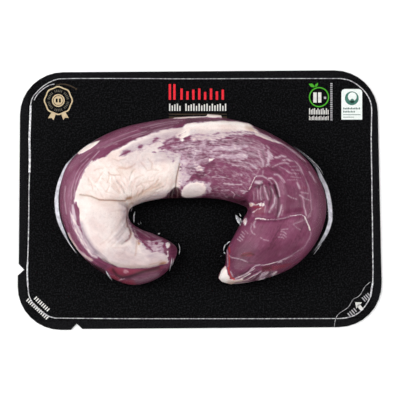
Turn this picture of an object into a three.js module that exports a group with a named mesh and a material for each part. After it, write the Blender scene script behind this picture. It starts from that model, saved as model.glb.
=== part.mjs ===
import * as THREE from 'three';

// Raw pork tenderloin in a skin pack: the meat lies in a bow on a flat black card,
// under a clear film drawn tight over it and sealed to the card all round.
// Millimetres, +X along the card, +Z up, origin under the middle of the card.

// Card
const CARD_LENGTH = 250;
const CARD_WIDTH = 180;
const CARD_THICKNESS = 1;
const CARD_CORNER = 30;
const CARD_ARC_STEPS = 8;
// The corner between the two snips stands this much proud of the long edges
const TAB_PROUD = 0.6;
const SNIP_DEPTH = 3.7;
const SNIP_HALF_WIDTH = 4;
const SIDE_SNIP_Y = -48.5;
const FRONT_SNIP_X = -84.5;

// Film: it meets the card this far beyond the meat's widest outline
const FILM_THICKNESS = 0.3;
const FIT_GAP = 0.3;
const WEB_REACH = 4.5;
// Rows of the film's web, from the meat's side down to the card: the share of the reach,
// the share of the drop that is left, and how far the film leans over, in degrees
const WEB_ROWS = [
  { out: 0.1, up: 0.62, lean: 25 },
  { out: 0.36, up: 0.24, lean: 50 },
  { out: 1, up: 0, lean: 90 },
];
const TAUT_PASSES = 12;

// Raised seal line near the card's edge
const SEAL_INSET = { left: 5.8, right: 4.8, back: 5.3, front: 6.5 };
const SEAL_CORNER = 25;
const SEAL_ARC_STEPS = 6;
const SEAL_HALF_WIDTH = 0.7;
const SEAL_HEIGHT = 0.5;

// Meat: the level of its widest outline as a share of its height, the roundness of
// its cross-section, and the width of its foot as a share of the widest
const WIDEST_LEVEL = 0.42;
const ROUNDNESS = 2.25;
const FOOT_SHARE = 0.8;
// The row halfway down the side: its width as a share, and its share of the drop
const SIDE_ROW = { width: 0.93, drop: 0.62 };
const RING_STEP = 4;
const CROWN_ROWS = 16;
const END_STEPS = 5;
const TAIL_END_RADIUS = 9;
const BUTT_END_RADIUS = 6;

// Cuts across the meat from tail tip to butt tip: the ends of each cut on the widest
// outline, on the inside and the outside of the bow, and the meat's height there
const CUTS = [
  { inner: [-15.5, -36], outer: [-15.5, -36], height: 20 },
  { inner: [-19.5, -31.5], outer: [-17.5, -44.5], height: 22 },
  { inner: [-30.5, -26], outer: [-27, -55], height: 25 },
  { inner: [-40, -22.5], outer: [-44.5, -60.5], height: 28 },
  { inner: [-46.5, -18], outer: [-63, -54], height: 31 },
  { inner: [-48.5, -13], outer: [-81.5, -38.5], height: 32.5 },
  { inner: [-47, -8.5], outer: [-94.5, -12], height: 33 },
  { inner: [-40.5, -5], outer: [-90.5, 20.5], height: 33.5 },
  { inner: [-27, -2], outer: [-64, 42.5], height: 34 },
  { inner: [-6.5, -1.5], outer: [-23.5, 53], height: 35 },
  { inner: [14, -2.5], outer: [17.5, 53.5], height: 36 },
  { inner: [28.5, -6.5], outer: [50.5, 41.5], height: 37 },
  { inner: [33, -9.5], outer: [76.5, 20.5], height: 38.5 },
  { inner: [29, -18], outer: [86.5, -6], height: 40 },
  { inner: [23.5, -28], outer: [81, -29.5], height: 39.5 },
  { inner: [18.5, -38], outer: [64, -49], height: 37 },
  { inner: [17.5, -47], outer: [34.5, -59], height: 32 },
  { inner: [14.5, -51], outer: [20, -59.5], height: 23 },
  { inner: [13, -56], outer: [13, -56], height: 16 },
];

// Relief on the meat: each stroke is a groove (depth above 0) or a ridge (below 0)
const RELIEF = [
  { name: 'bend crease', depth: 2, halfWidth: 2.8,
    path: [[-80.5, -0.5], [-71.5, -2.5], [-63, -4.5], [-47, -5.5]] },
  { name: 'waist crease', depth: 1.8, halfWidth: 2.8,
    path: [[-13, 22.5], [-14, 15.5], [-16, 7.5], [-18, -1]] },
  { name: 'fold crease', depth: 2, halfWidth: 2.8,
    path: [[30, -9.5], [34, -1], [39.5, 6], [46, 8.5], [52, 5], [54.5, -3], [52.5, -14]] },
  { name: 'seam', depth: 1.4, halfWidth: 2.6,
    path: [[36.5, -17], [45.5, -18], [57, -17], [68.5, -15]] },
  { name: 'lobe groove', depth: 2.6, halfWidth: 2.8,
    path: [[-68.5, -42.5], [-60.5, -49], [-49, -51.5], [-36, -52], [-25.5, -50]] },
  { name: 'fat cap lip', depth: -1, halfWidth: 3.2,
    path: [[-81.5, -7.5], [-78, 15], [-66.5, 23], [-47, 34.5], [-27, 42], [0.5, 48], [33, 46.5]] },
  { name: 'white knob', depth: -1.4, halfWidth: 6,
    path: [[-7, 3.5], [2.5, 3.5]] },
  { name: 'butt strand', depth: -1, halfWidth: 2.8,
    path: [[27, -54], [42, -47.5], [57.5, -43], [69.5, -35.5]] },
];

const MEAT_BASE = CARD_THICKNESS + FIT_GAP;
const FILM_BASE = CARD_THICKNESS + FIT_GAP;
const FILM_TOP = FILM_BASE + FILM_THICKNESS;

const cardMaterial = new THREE.MeshStandardMaterial({ color: 0x0d0d0e, roughness: 0.55, metalness: 0 });
const meatMaterial = new THREE.MeshStandardMaterial({ color: 0x9a6680, roughness: 0.4, metalness: 0 });
const filmMaterial = new THREE.MeshStandardMaterial({
  color: 0xe9e9ee,
  roughness: 0.08,
  metalness: 0,
  transparent: true,
  opacity: 0.25,
});

// A mesh built vertex by vertex and face by face
class Shell {
  constructor() {
    this.points = [];
    this.faces = [];
  }

  add(point) {
    this.points.push(point);
    return this.points.length - 1;
  }

  triangle(a, b, c) {
    this.faces.push([a, b, c]);
  }

  quad(a, b, c, d) {
    this.triangle(a, b, c);
    this.triangle(a, c, d);
  }

  // A band of faces between two closed loops of vertices with the same count
  band(lower, upper) {
    lower.forEach((from, k) => {
      const next = (k + 1) % lower.length;
      this.quad(from, lower[next], upper[next], upper[k]);
    });
  }

  // A level sheet between an outline and a hole, facing up or down
  sheet(outline, hole, up) {
    const flat = (k) => new THREE.Vector2(this.points[k].x, this.points[k].y);
    const ring = [...outline, ...hole];
    const found = THREE.ShapeUtils.triangulateShape(outline.map(flat), [hole.map(flat)]);
    for (const corners of found) {
      const [a, b, c] = corners.map((k) => ring[k]);
      const isUp = THREE.ShapeUtils.area([a, b, c].map(flat)) > 0;
      if (isUp === up) this.triangle(a, b, c);
      else this.triangle(a, c, b);
    }
  }

  geometry() {
    const geometry = new THREE.BufferGeometry();
    const positions = this.points.flatMap((p) => [p.x, p.y, p.z]);
    geometry.setAttribute('position', new THREE.Float32BufferAttribute(positions, 3));
    geometry.setIndex(this.faces.flat());
    geometry.computeVertexNormals();
    return geometry;
  }
}

// A rounded rectangle, anticlockwise from the start of its back right corner
function roundedLoop({ left, right, back, front }, radius, steps) {
  const corners = [
    { x: right - radius, y: back - radius, turn: 0 },
    { x: left + radius, y: back - radius, turn: Math.PI / 2 },
    { x: left + radius, y: front + radius, turn: Math.PI },
    { x: right - radius, y: front + radius, turn: 1.5 * Math.PI },
  ];
  return corners.flatMap(({ x, y, turn }) => Array.from({ length: steps + 1 }, (_, k) => {
    const angle = turn + (k / steps) * (Math.PI / 2);
    return new THREE.Vector2(x + radius * Math.cos(angle), y + radius * Math.sin(angle));
  }));
}

// The card's outline, with the proud corner between its two snips
function cardOutline() {
  const tabLeft = -CARD_LENGTH / 2;
  const tabFront = -CARD_WIDTH / 2;
  const edges = {
    left: tabLeft + TAB_PROUD,
    right: CARD_LENGTH / 2,
    back: CARD_WIDTH / 2,
    front: tabFront + TAB_PROUD,
  };
  const tab = { ...edges, left: tabLeft, front: tabFront };
  const loop = roundedLoop(edges, CARD_CORNER, CARD_ARC_STEPS);
  const perCorner = CARD_ARC_STEPS + 1;
  const backCorners = loop.slice(0, 2 * perCorner);
  const tabCorner = roundedLoop(tab, CARD_CORNER, CARD_ARC_STEPS).slice(2 * perCorner, 3 * perCorner);
  const frontRight = loop.slice(3 * perCorner);
  const sideSnip = [
    new THREE.Vector2(edges.left, SIDE_SNIP_Y + SNIP_HALF_WIDTH),
    new THREE.Vector2(edges.left + SNIP_DEPTH, SIDE_SNIP_Y),
    new THREE.Vector2(tabLeft, SIDE_SNIP_Y - SNIP_HALF_WIDTH),
  ];
  const frontSnip = [
    new THREE.Vector2(FRONT_SNIP_X - SNIP_HALF_WIDTH, tabFront),
    new THREE.Vector2(FRONT_SNIP_X, edges.front + SNIP_DEPTH),
    new THREE.Vector2(FRONT_SNIP_X + SNIP_HALF_WIDTH, edges.front),
  ];
  return [...backCorners, ...sideSnip, ...tabCorner, ...frontSnip, ...frontRight];
}

function cardGeometry() {
  const shape = new THREE.Shape(cardOutline());
  return new THREE.ExtrudeGeometry(shape, { depth: CARD_THICKNESS, bevelEnabled: false });
}

// The closed outline through the ends of all cuts: up the outside, back down the inside
function meatOutline() {
  const outside = CUTS.map(({ outer }) => outer);
  const inside = CUTS.slice(1, -1).reverse().map(({ inner }) => inner);
  const points = [...outside, ...inside].map(([x, y]) => new THREE.Vector3(x, y, 0));
  return new THREE.CatmullRomCurve3(points, true, 'centripetal');
}

// The line midway between the two sides of the outline, from tail tip to butt tip
class Midline extends THREE.Curve {
  constructor(outline) {
    super();
    this.outline = outline;
    this.arcLengthDivisions = 600;
  }

  sides(t) {
    return { outer: this.outline.getPoint(t / 2), inner: this.outline.getPoint(1 - t / 2) };
  }

  getPoint(t, target = new THREE.Vector3()) {
    const { outer, inner } = this.sides(t);
    return target.lerpVectors(outer, inner, 0.5);
  }
}

// Distances of the rings from the tail tip: close together round each end
function ringDistances(length) {
  const endSteps = Array.from({ length: END_STEPS }, (_, k) => {
    const angle = ((k + 1) / END_STEPS) * (Math.PI / 2);
    return 1 - Math.cos(angle);
  });
  const middle = length - TAIL_END_RADIUS - BUTT_END_RADIUS;
  const count = Math.round(middle / RING_STEP);
  const tail = endSteps.map((share) => share * TAIL_END_RADIUS);
  const body = Array.from({ length: count - 1 }, (_, k) => TAIL_END_RADIUS + ((k + 1) / count) * middle);
  const butt = endSteps.map((share) => length - share * BUTT_END_RADIUS).reverse();
  return [...tail, ...body, ...butt];
}

// How full the meat is at a distance from a round end, from 0 at the tip to 1
function endFullness(distance, radius) {
  const short = Math.max(0, 1 - distance / radius);
  return Math.sqrt(1 - short * short);
}

function reliefDepth(point) {
  let depth = 0;
  const nearest = new THREE.Vector2();
  for (const stroke of strokes) {
    let distance = Infinity;
    for (let k = 1; k < stroke.line.length; k += 1) {
      const [from, to] = [stroke.line[k - 1], stroke.line[k]];
      const along = to.clone().sub(from);
      const share = nearest.copy(point).sub(from).dot(along) / along.lengthSq();
      nearest.copy(from).addScaledVector(along, THREE.MathUtils.clamp(share, 0, 1));
      distance = Math.min(distance, nearest.distanceTo(point));
    }
    depth += stroke.depth * Math.exp(-((distance / stroke.halfWidth) ** 2));
  }
  return depth;
}

const strokes = RELIEF.map(({ depth, halfWidth, path }) => ({
  depth,
  halfWidth,
  line: path.map(([x, y]) => new THREE.Vector2(x, y)),
}));

// One cross-section: from the inside of the bow over the crown to the outside, and back
// under the flat foot
function meatRing(midline, t, heights, fullness) {
  const { outer, inner } = midline.sides(t);
  const middle = outer.clone().lerp(inner, 0.5);
  const half = inner.clone().sub(outer).multiplyScalar(0.5);
  const crown = heights.getPoint(t).y;
  const widest = MEAT_BASE + WIDEST_LEVEL * (crown - MEAT_BASE);
  const rise = (crown - widest) * fullness;
  const drop = (widest - MEAT_BASE) * fullness;
  const at = (across, level) => middle.clone().addScaledVector(half, across).setZ(level);
  const power = 2 / ROUNDNESS;
  const over = Array.from({ length: CROWN_ROWS + 1 }, (_, row) => {
    const angle = (row / CROWN_ROWS) * Math.PI;
    const across = Math.sign(Math.cos(angle)) * Math.abs(Math.cos(angle)) ** power;
    return at(across, widest + rise * Math.abs(Math.sin(angle)) ** power);
  });
  const sideLevel = widest - SIDE_ROW.drop * drop;
  const under = [
    at(-SIDE_ROW.width, sideLevel),
    at(-FOOT_SHARE, widest - drop),
    at(FOOT_SHARE, widest - drop),
    at(SIDE_ROW.width, sideLevel),
  ];
  return [...over, ...under];
}

// Builds the meat and keeps its rings of vertices, which the film is drawn over
function buildMeat() {
  const midline = new Midline(meatOutline());
  const heights = new THREE.SplineCurve(CUTS.map(({ height }, k) => new THREE.Vector2(k, height)));
  const length = midline.getLength();
  const shell = new Shell();
  const tip = (t) => {
    const crown = heights.getPoint(t).y;
    return shell.add(midline.getPoint(t).setZ(MEAT_BASE + WIDEST_LEVEL * (crown - MEAT_BASE)));
  };
  const tailTip = tip(0);
  const rings = ringDistances(length).map((distance) => {
    const t = midline.getUtoTmapping(0, distance);
    const fullness = endFullness(distance, TAIL_END_RADIUS) * endFullness(length - distance, BUTT_END_RADIUS);
    return meatRing(midline, t, heights, fullness).map((point) => shell.add(point));
  });
  const buttTip = tip(1);
  const around = rings[0].length;
  for (let k = 0; k < around; k += 1) {
    const next = (k + 1) % around;
    shell.triangle(tailTip, rings[0][k], rings[0][next]);
    for (let ring = 1; ring < rings.length; ring += 1) {
      shell.quad(rings[ring - 1][k], rings[ring][k], rings[ring][next], rings[ring - 1][next]);
    }
    shell.triangle(rings.at(-1)[k], buttTip, rings.at(-1)[next]);
  }
  carveRelief(shell, rings);
  return { shell, rings, tailTip, buttTip };
}

// Pushes the crown's vertices in or out along their normals
function carveRelief(shell, rings) {
  const normals = shell.geometry().getAttribute('normal');
  const normal = new THREE.Vector3();
  const plan = new THREE.Vector2();
  for (const ring of rings) {
    for (const vertex of ring.slice(1, CROWN_ROWS)) {
      const point = shell.points[vertex];
      normal.fromBufferAttribute(normals, vertex);
      point.addScaledVector(normal, -reliefDepth(plan.set(point.x, point.y)));
    }
  }
}

// The loop round the widest outline: inside of the bow, butt tip, outside, tail tip
function rimLoop(tail, rows, butt) {
  return [tail, ...rows.map((row) => row[0]), butt, ...rows.map((row) => row[CROWN_ROWS]).reverse()];
}

// The web's foot on the card: off the meat by its reach, and bridging inside bends
function webFoot(outline, outward) {
  let foot = outline.map((point, k) => point.clone().addScaledVector(outward[k], WEB_REACH));
  for (let pass = 0; pass < TAUT_PASSES; pass += 1) {
    foot = foot.map((point, k) => {
      const before = foot.at(k - 1);
      const after = foot[(k + 1) % foot.length];
      const drawn = before.clone().lerp(after, 0.5);
      const isBridging = drawn.clone().sub(point).dot(outward[k]) > 0;
      return isBridging ? drawn : point;
    });
  }
  return foot;
}

// The film: two skins a film's thickness apart, over the meat, down the web, out over
// the card with the raised seal line, and joined round the card's edge
function buildFilm({ shell: meat, rings, tailTip, buttTip }) {
  const normals = meat.geometry().getAttribute('normal');
  const normalOf = (vertex) => new THREE.Vector3().fromBufferAttribute(normals, vertex);
  const level = (vector) => vector.clone().setZ(0).normalize();
  const shell = new Shell();

  const rim = rimLoop(tailTip, rings, buttTip);
  const outline = rim.map((vertex) => meat.points[vertex].clone());
  const outward = rim.map((vertex) => level(normalOf(vertex)));
  const foot = webFoot(outline, outward);

  const skin = (offset, isUpper) => {
    const copy = (vertex) => shell.add(meat.points[vertex].clone().addScaledVector(normalOf(vertex), offset));
    const tail = copy(tailTip);
    const rows = rings.map((ring) => ring.slice(0, CROWN_ROWS + 1).map(copy));
    const butt = copy(buttTip);
    const triangle = (a, b, c) => (isUpper ? shell.triangle(a, b, c) : shell.triangle(a, c, b));
    const quad = (a, b, c, d) => {
      triangle(a, b, c);
      triangle(a, c, d);
    };
    for (let k = 0; k < CROWN_ROWS; k += 1) {
      triangle(tail, rows[0][k], rows[0][k + 1]);
      for (let ring = 1; ring < rows.length; ring += 1) {
        quad(rows[ring - 1][k], rows[ring][k], rows[ring][k + 1], rows[ring - 1][k + 1]);
      }
      triangle(rows.at(-1)[k], butt, rows.at(-1)[k + 1]);
    }
    const top = rimLoop(tail, rows, butt);
    const loops = WEB_ROWS.map(({ out, up, lean }) => outline.map((point, k) => {
      const start = point.clone().addScaledVector(outward[k], FIT_GAP);
      const place = start.clone().lerp(foot[k], out);
      place.z = FILM_BASE + (point.z - FILM_BASE) * up;
      const angle = THREE.MathUtils.degToRad(lean);
      const rise = isUpper ? FILM_THICKNESS : 0;
      place.addScaledVector(outward[k], rise * Math.cos(angle));
      place.z += rise * Math.sin(angle);
      return shell.add(place);
    }));
    [top, ...loops].forEach((loop, k, all) => {
      if (k === 0) return;
      if (isUpper) shell.band(loop, all[k - 1]);
      else shell.band(all[k - 1], loop);
    });
    return loops.at(-1);
  };

  const lowerFoot = skin(FIT_GAP, false);
  const upperFoot = skin(FIT_GAP + FILM_THICKNESS, true);
  const flatLoop = (points, z) => points.map(({ x, y }) => shell.add(new THREE.Vector3(x, y, z)));
  const lowerEdge = flatLoop(cardOutline(), FILM_BASE);
  const upperEdge = flatLoop(cardOutline(), FILM_TOP);
  const seal = [-SEAL_HALF_WIDTH, 0, SEAL_HALF_WIDTH].map((outset) => {
    const sides = {
      left: -CARD_LENGTH / 2 + SEAL_INSET.left - outset,
      right: CARD_LENGTH / 2 - SEAL_INSET.right + outset,
      back: CARD_WIDTH / 2 - SEAL_INSET.back + outset,
      front: -CARD_WIDTH / 2 + SEAL_INSET.front - outset,
    };
    const z = outset === 0 ? FILM_TOP + SEAL_HEIGHT : FILM_TOP;
    return flatLoop(roundedLoop(sides, SEAL_CORNER + outset, SEAL_ARC_STEPS), z);
  });
  shell.sheet(lowerEdge, lowerFoot, false);
  shell.band(lowerEdge, upperEdge);
  shell.sheet(upperEdge, seal[2], true);
  shell.band(seal[2], seal[1]);
  shell.band(seal[1], seal[0]);
  shell.sheet(seal[0], upperFoot, true);
  return shell;
}

function sub(name, geometry, material) {
  const mesh = new THREE.Mesh(geometry, material);
  mesh.name = name;
  return mesh;
}

const meat = buildMeat();
const group = new THREE.Group();
group.add(sub('card', cardGeometry(), cardMaterial));
group.add(sub('tenderloin', meat.shell.geometry(), meatMaterial));
group.add(sub('skin_film', buildFilm(meat).geometry(), filmMaterial));

export default group;
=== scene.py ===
"""Raw pork tenderloin in a skin pack: the looks of the meat, its film and its printed card.

The meat lies in a bow on a black card under a clear film. Its form follows the same cuts as the
CAD solid, and its colours and fine relief follow marks placed by the photograph's pixels.
"""

import logging
import math
from dataclasses import dataclass, field, replace
from enum import Enum
from typing import Sequence

import bpy
import numpy as np
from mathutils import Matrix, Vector
from mathutils.bvhtree import BVHTree
from mathutils.geometry import tessellate_polygon


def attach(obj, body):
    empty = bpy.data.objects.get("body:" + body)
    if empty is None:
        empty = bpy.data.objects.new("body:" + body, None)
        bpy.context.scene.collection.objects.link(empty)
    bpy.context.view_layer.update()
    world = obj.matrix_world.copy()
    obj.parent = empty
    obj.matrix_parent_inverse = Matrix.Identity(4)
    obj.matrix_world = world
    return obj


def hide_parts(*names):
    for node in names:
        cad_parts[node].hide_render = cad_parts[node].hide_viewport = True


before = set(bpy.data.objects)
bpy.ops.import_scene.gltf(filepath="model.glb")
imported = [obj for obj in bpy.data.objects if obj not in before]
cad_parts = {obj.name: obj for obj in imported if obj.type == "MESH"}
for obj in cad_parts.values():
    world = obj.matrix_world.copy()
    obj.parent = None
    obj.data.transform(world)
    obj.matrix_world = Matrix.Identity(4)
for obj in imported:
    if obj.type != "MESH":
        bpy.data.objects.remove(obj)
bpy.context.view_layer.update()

LOG = logging.getLogger("skin_pack")
MM = 0.001
BODY = "root"

Pixel = tuple[float, float]
Colour = tuple[float, float, float, float]
Value = bpy.types.NodeSocket | float
Tone = bpy.types.NodeSocket | str


# Helpers


def linear(hex_colour: str) -> Colour:
    """Turns an sRGB hex colour to linear.

    Args:
        hex_colour: six hex digits, with or without a leading #.

    Returns:
        The linear red, green and blue, and an alpha of 1.
    """
    digits = hex_colour.lstrip("#")
    parts = [int(digits[k : k + 2], 16) / 255 for k in (0, 2, 4)]
    red, green, blue = (c / 12.92 if c <= 0.04045 else ((c + 0.055) / 1.055) ** 2.4 for c in parts)
    return red, green, blue, 1.0


def put(tree: bpy.types.NodeTree, kind: str, inputs: dict | None = None, **settings) -> bpy.types.Node:
    """Adds a node to a tree.

    Args:
        tree: the tree that gets the node.
        kind: the node's type name.
        inputs: values for its sockets by name or number; a socket given as a value is linked.
        settings: the node's own properties.

    Returns:
        The new node.
    """
    node = tree.nodes.new(kind)
    for name, value in settings.items():
        setattr(node, name, value)
    for key, value in (inputs or {}).items():
        if isinstance(value, bpy.types.NodeSocket):
            tree.links.new(value, node.inputs[key])
        else:
            node.inputs[key].default_value = value
    return node


def smooth_step(values: np.ndarray, low: float, high: float) -> np.ndarray:
    """Eases from 0 at low to 1 at high."""
    share = np.clip((values - low) / (high - low), 0, 1)
    return share * share * (3 - 2 * share)


def catmull_rom(points: np.ndarray, places: np.ndarray, closed: bool) -> np.ndarray:
    """Reads a Catmull-Rom curve: centripetal if it is closed, and uniform with held ends if not.

    Args:
        points: the curve's points, one a row.
        places: where to read it, counted in points.
        closed: whether the last point runs on to the first.

    Returns:
        The curve's places, one a row.
    """
    count = len(points)
    low = np.floor(places).astype(int)
    if not closed:
        low = np.clip(low, 0, count - 2)
    share = (places - low)[:, None]
    steps = [(low + k) % count if closed else np.clip(low + k, 0, count - 1) for k in (-1, 0, 1, 2)]
    at = [points[step] for step in steps]
    rise = at[2] - at[1]
    if closed:
        gaps = [np.sqrt(np.linalg.norm(b - a, axis=1))[:, None] for a, b in zip(at, at[1:])]
        leave = (at[1] - at[0]) / gaps[0] - (at[2] - at[0]) / (gaps[0] + gaps[1]) + rise / gaps[1]
        reach = rise / gaps[1] - (at[3] - at[1]) / (gaps[1] + gaps[2]) + (at[3] - at[2]) / gaps[2]
        leave, reach = leave * gaps[1], reach * gaps[1]
    else:
        leave, reach = (at[2] - at[0]) / 2, (at[3] - at[1]) / 2
    bend = 3 * rise - 2 * leave - reach
    return at[1] + share * (leave + share * (bend + share * (leave + reach - 2 * rise)))


class GrainField:
    """Smooth random values over a plane, the same on each run."""

    SIDE = 128

    def __init__(self, seed: int) -> None:
        """Draws the lattice of values."""
        self.lattice = np.random.default_rng(seed).uniform(-1, 1, (self.SIDE, self.SIDE))

    def at(self, x: np.ndarray, y: np.ndarray) -> np.ndarray:
        """Reads the field, one lattice cell for each unit of x and y.

        Args:
            x: places along the lattice's first axis.
            y: places along its second axis.

        Returns:
            The values, from -1 to 1.
        """
        low_x, low_y = np.floor(x).astype(int), np.floor(y).astype(int)
        share_x, share_y = smooth_step(x - low_x, 0, 1), smooth_step(y - low_y, 0, 1)
        x0, x1 = low_x % self.SIDE, (low_x + 1) % self.SIDE
        y0, y1 = low_y % self.SIDE, (low_y + 1) % self.SIDE
        near = self.lattice[x0, y0] * (1 - share_x) + self.lattice[x1, y0] * share_x
        far = self.lattice[x0, y1] * (1 - share_x) + self.lattice[x1, y1] * share_x
        return near * (1 - share_y) + far * share_y

    def layered(self, x: np.ndarray, y: np.ndarray, layers: int = 3) -> np.ndarray:
        """Adds finer and weaker copies of the field.

        Args:
            x: places along the lattice's first axis.
            y: places along its second axis.
            layers: how many copies, each twice as fine and half as strong as the last.

        Returns:
            The values, from -1 to 1.
        """
        total = np.zeros_like(x)
        for layer in range(layers):
            total += self.at(x * 2**layer + 19.3 * layer, y * 2**layer + 7.7 * layer) / 2**layer
        return total / (2 - 2 ** (1 - layers))


def build_object(
    name: str, points: np.ndarray, faces: Sequence[Sequence[int]], material: bpy.types.Material
) -> bpy.types.Object:
    """Makes a smooth mesh object from points in millimetres.

    Args:
        name: the piece's name.
        points: one row for each vertex.
        faces: the vertices of each face.
        material: the finish of the whole piece.

    Returns:
        The object, linked to the scene, at the origin.
    """
    mesh = bpy.data.meshes.new(name)
    mesh.from_pydata((np.asarray(points) * MM).tolist(), [], [list(face) for face in faces])
    mesh.shade_smooth()
    mesh.materials.append(material)
    piece = bpy.data.objects.new(name, mesh)
    bpy.context.scene.collection.objects.link(piece)
    return piece


def flat_faces(loops: Sequence[np.ndarray], start: int) -> list[tuple[int, int, int]]:
    """Fills a flat shape that may have holes.

    Args:
        loops: the shape's edge and its holes, as places.
        start: the number of the first vertex.

    Returns:
        The faces, which face up.
    """
    every = np.concatenate(loops)[:, :2]
    faces = []
    for a, b, c in tessellate_polygon([[Vector((x, y, 0)) for x, y, _ in loop] for loop in loops]):
        turn = np.cross(every[b] - every[a], every[c] - every[a])
        b, c = (b, c) if turn > 0 else (c, b)
        faces.append((start + a, start + b, start + c))
    return faces


def write_attribute(piece: bpy.types.Object, name: str, values: np.ndarray) -> None:
    """Stores values on a piece's vertices, for its material to read.

    Args:
        piece: the piece.
        name: the attribute's name.
        values: one number, or one vector, for each vertex.
    """
    kind, key = ("FLOAT", "value") if values.ndim == 1 else ("FLOAT_VECTOR", "vector")
    attribute = piece.data.attributes.new(name, kind, "POINT")
    attribute.data.foreach_set(key, values.astype(np.float32).ravel())


def take_in(piece: bpy.types.Object, slot: str, *nodes: str) -> None:
    """Lets a finished piece move with the part.

    Args:
        piece: the piece, a plain mesh at the origin.
        slot: its material slot in the part's record; not used.
        nodes: the CAD nodes that it stands for.
    """
    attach(piece, BODY)
    if nodes:
        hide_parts(*nodes)
    LOG.info("%s: %d vertices, %d faces", piece.name, len(piece.data.vertices), len(piece.data.polygons))


# The photograph's eye


@dataclass(frozen=True)
class Sight:
    """The photograph's eye over the pack. Lengths are millimetres, angles degrees."""

    distance: float = 1150.0
    tilt: float = 7.9
    roll: float = 0.39
    middle: Pixel = (198.6, 198.4)
    pixel: float = 0.6925
    picture: int = 400
    sensor: float = 36.0

    def eye(self) -> np.ndarray:
        """The eye's place."""
        angle = math.radians(self.tilt)
        return np.array([0.0, -self.distance * math.sin(angle), self.distance * math.cos(angle)])

    def pixels(self, points: np.ndarray) -> np.ndarray:
        """Finds where points on the object are seen.

        Args:
            points: places in millimetres, the last axis x, y, z.

        Returns:
            Their column and row in the photograph, counted from its top left pixel.
        """
        angle, turn = math.radians(self.tilt), math.radians(self.roll)
        x, y, z = points[..., 0], points[..., 1], points[..., 2]
        depth = self.distance - z * math.cos(angle) + y * math.sin(angle)
        across = x * self.distance / depth / self.pixel
        up = (y * math.cos(angle) + z * math.sin(angle)) * self.distance / depth / self.pixel
        column = self.middle[0] + across * math.cos(turn) - up * math.sin(turn)
        row = self.middle[1] - across * math.sin(turn) - up * math.cos(turn)
        return np.stack([column, row], axis=-1)

    def on_level(self, pixel: Pixel, level: float) -> np.ndarray:
        """Finds the place on a level plane that a pixel shows.

        Args:
            pixel: column and row in the photograph.
            level: the plane's height in millimetres.

        Returns:
            The place, in millimetres.
        """
        angle, turn = math.radians(self.tilt), math.radians(self.roll)
        column, row = pixel[0] - self.middle[0], self.middle[1] - pixel[1]
        across = (column * math.cos(turn) + row * math.sin(turn)) * self.pixel / self.distance
        up = (row * math.cos(turn) - column * math.sin(turn)) * self.pixel / self.distance
        reach = self.distance - level * math.cos(angle)
        y = (up * reach - level * math.sin(angle)) / (math.cos(angle) - up * math.sin(angle))
        return np.array([across * (reach + y * math.sin(angle)), y, level])

    def camera(self) -> None:
        """Makes the scene's camera at the eye."""
        data = bpy.data.cameras.new("photo_camera")
        data.sensor_width = self.sensor
        data.lens = self.sensor * self.distance / (self.picture * self.pixel)
        data.shift_x = ((self.picture - 1) / 2 - self.middle[0]) / self.picture
        data.shift_y = (self.middle[1] - (self.picture - 1) / 2) / self.picture
        data.clip_start, data.clip_end = 0.01, 20
        camera = bpy.data.objects.new("photo_camera", data)
        camera.location = Vector(self.eye()) * MM
        gaze = (-camera.location).to_track_quat("-Z", "Y").to_euler()
        gaze.rotate_axis("Z", -math.radians(self.roll))
        camera.rotation_euler = gaze
        bpy.context.scene.collection.objects.link(camera)
        bpy.context.scene.camera = camera


# Marks on the meat


class Tint(Enum):
    """What a mark does to the look of the meat. A value is also the attribute's name."""

    FAT = "fat"
    BARE = "bare"
    VEIL = "veil"
    PALE = "pale"
    # darker muscle, and painted shade on flanks and edges turned from the light
    DEEP_AND_SHADE = "deep"
    BLOOD = "blood"
    STAIN = "stain"
    # greyish thin fat, and painted shade on the fat
    COOL_AND_SHADE = "cool"
    FLUSH = "flush"
    # painted shade in creases, grooves and corners
    DARK = "dark"
    # painted shade in the fat's wrinkles
    CREVICE_SHADE = "crevice"
    # whiter fat, and painted highlights on rims and ridges
    WHITE = "white"
    NONE = "none"


PAINTED = tuple(tint for tint in Tint if tint not in (Tint.BARE, Tint.NONE))
SPOT_SIDES = 20


@dataclass(frozen=True)
class Mark:
    """A line or a filled patch on the meat, placed by the photograph's pixels.

    Width (of a line's half or of a patch's soft edge), relief and raggedness are millimetres.
    """

    tint: Tint
    path: tuple[Pixel, ...]
    width: float = 0.6
    strength: float = 1.0
    relief: float = 0.0
    ragged: float = 0.0
    filled: bool = False

    def cover(self, seen: np.ndarray, pixel: float) -> np.ndarray:
        """Works out how much the mark covers each place.

        Args:
            seen: the places, in pixels.
            pixel: millimetres for each pixel.

        Returns:
            From 0, none, to 1, full.
        """
        path = np.array(self.path, float)
        starts = path if self.filled else path[:-1]
        ends = np.roll(path, -1, axis=0) if self.filled else path[1:]
        nearest = np.full(seen.shape[:-1], np.inf)
        inside = np.zeros(seen.shape[:-1], bool)
        for start, end in zip(starts, ends):
            along = end - start
            share = np.clip(((seen - start) @ along) / max(along @ along, 1e-9), 0, 1)
            gap = seen - start - share[..., None] * along
            nearest = np.minimum(nearest, np.einsum("...k,...k->...", gap, gap))
            if self.filled and start[1] != end[1]:
                crosses = (start[1] > seen[..., 1]) != (end[1] > seen[..., 1])
                reach = start[0] + (seen[..., 1] - start[1]) * along[0] / along[1]
                inside ^= crosses & (seen[..., 0] < reach)
        distance = np.sqrt(nearest) * pixel
        if self.filled:
            return smooth_step(np.where(inside, distance, -distance), -self.width, self.width)
        return np.exp(-((distance / self.width) ** 2))


def lines(tint: Tint, *rows: tuple[float, ...], ragged: float = 0.0) -> tuple[Mark, ...]:
    """Lines of one tint. A row is a half width, a strength, a relief, then the path's pixels."""
    return tuple(Mark(tint, tuple(zip(row[3::2], row[4::2])), *row[:3], ragged) for row in rows)


def patches(tint: Tint, *rows: tuple[float, ...], ragged: float = 0.0) -> tuple[Mark, ...]:
    """Filled patches of one tint. A row is a soft edge, a strength, a relief, then the corners."""
    return tuple(replace(mark, filled=True) for mark in lines(tint, *rows, ragged=ragged))


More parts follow.
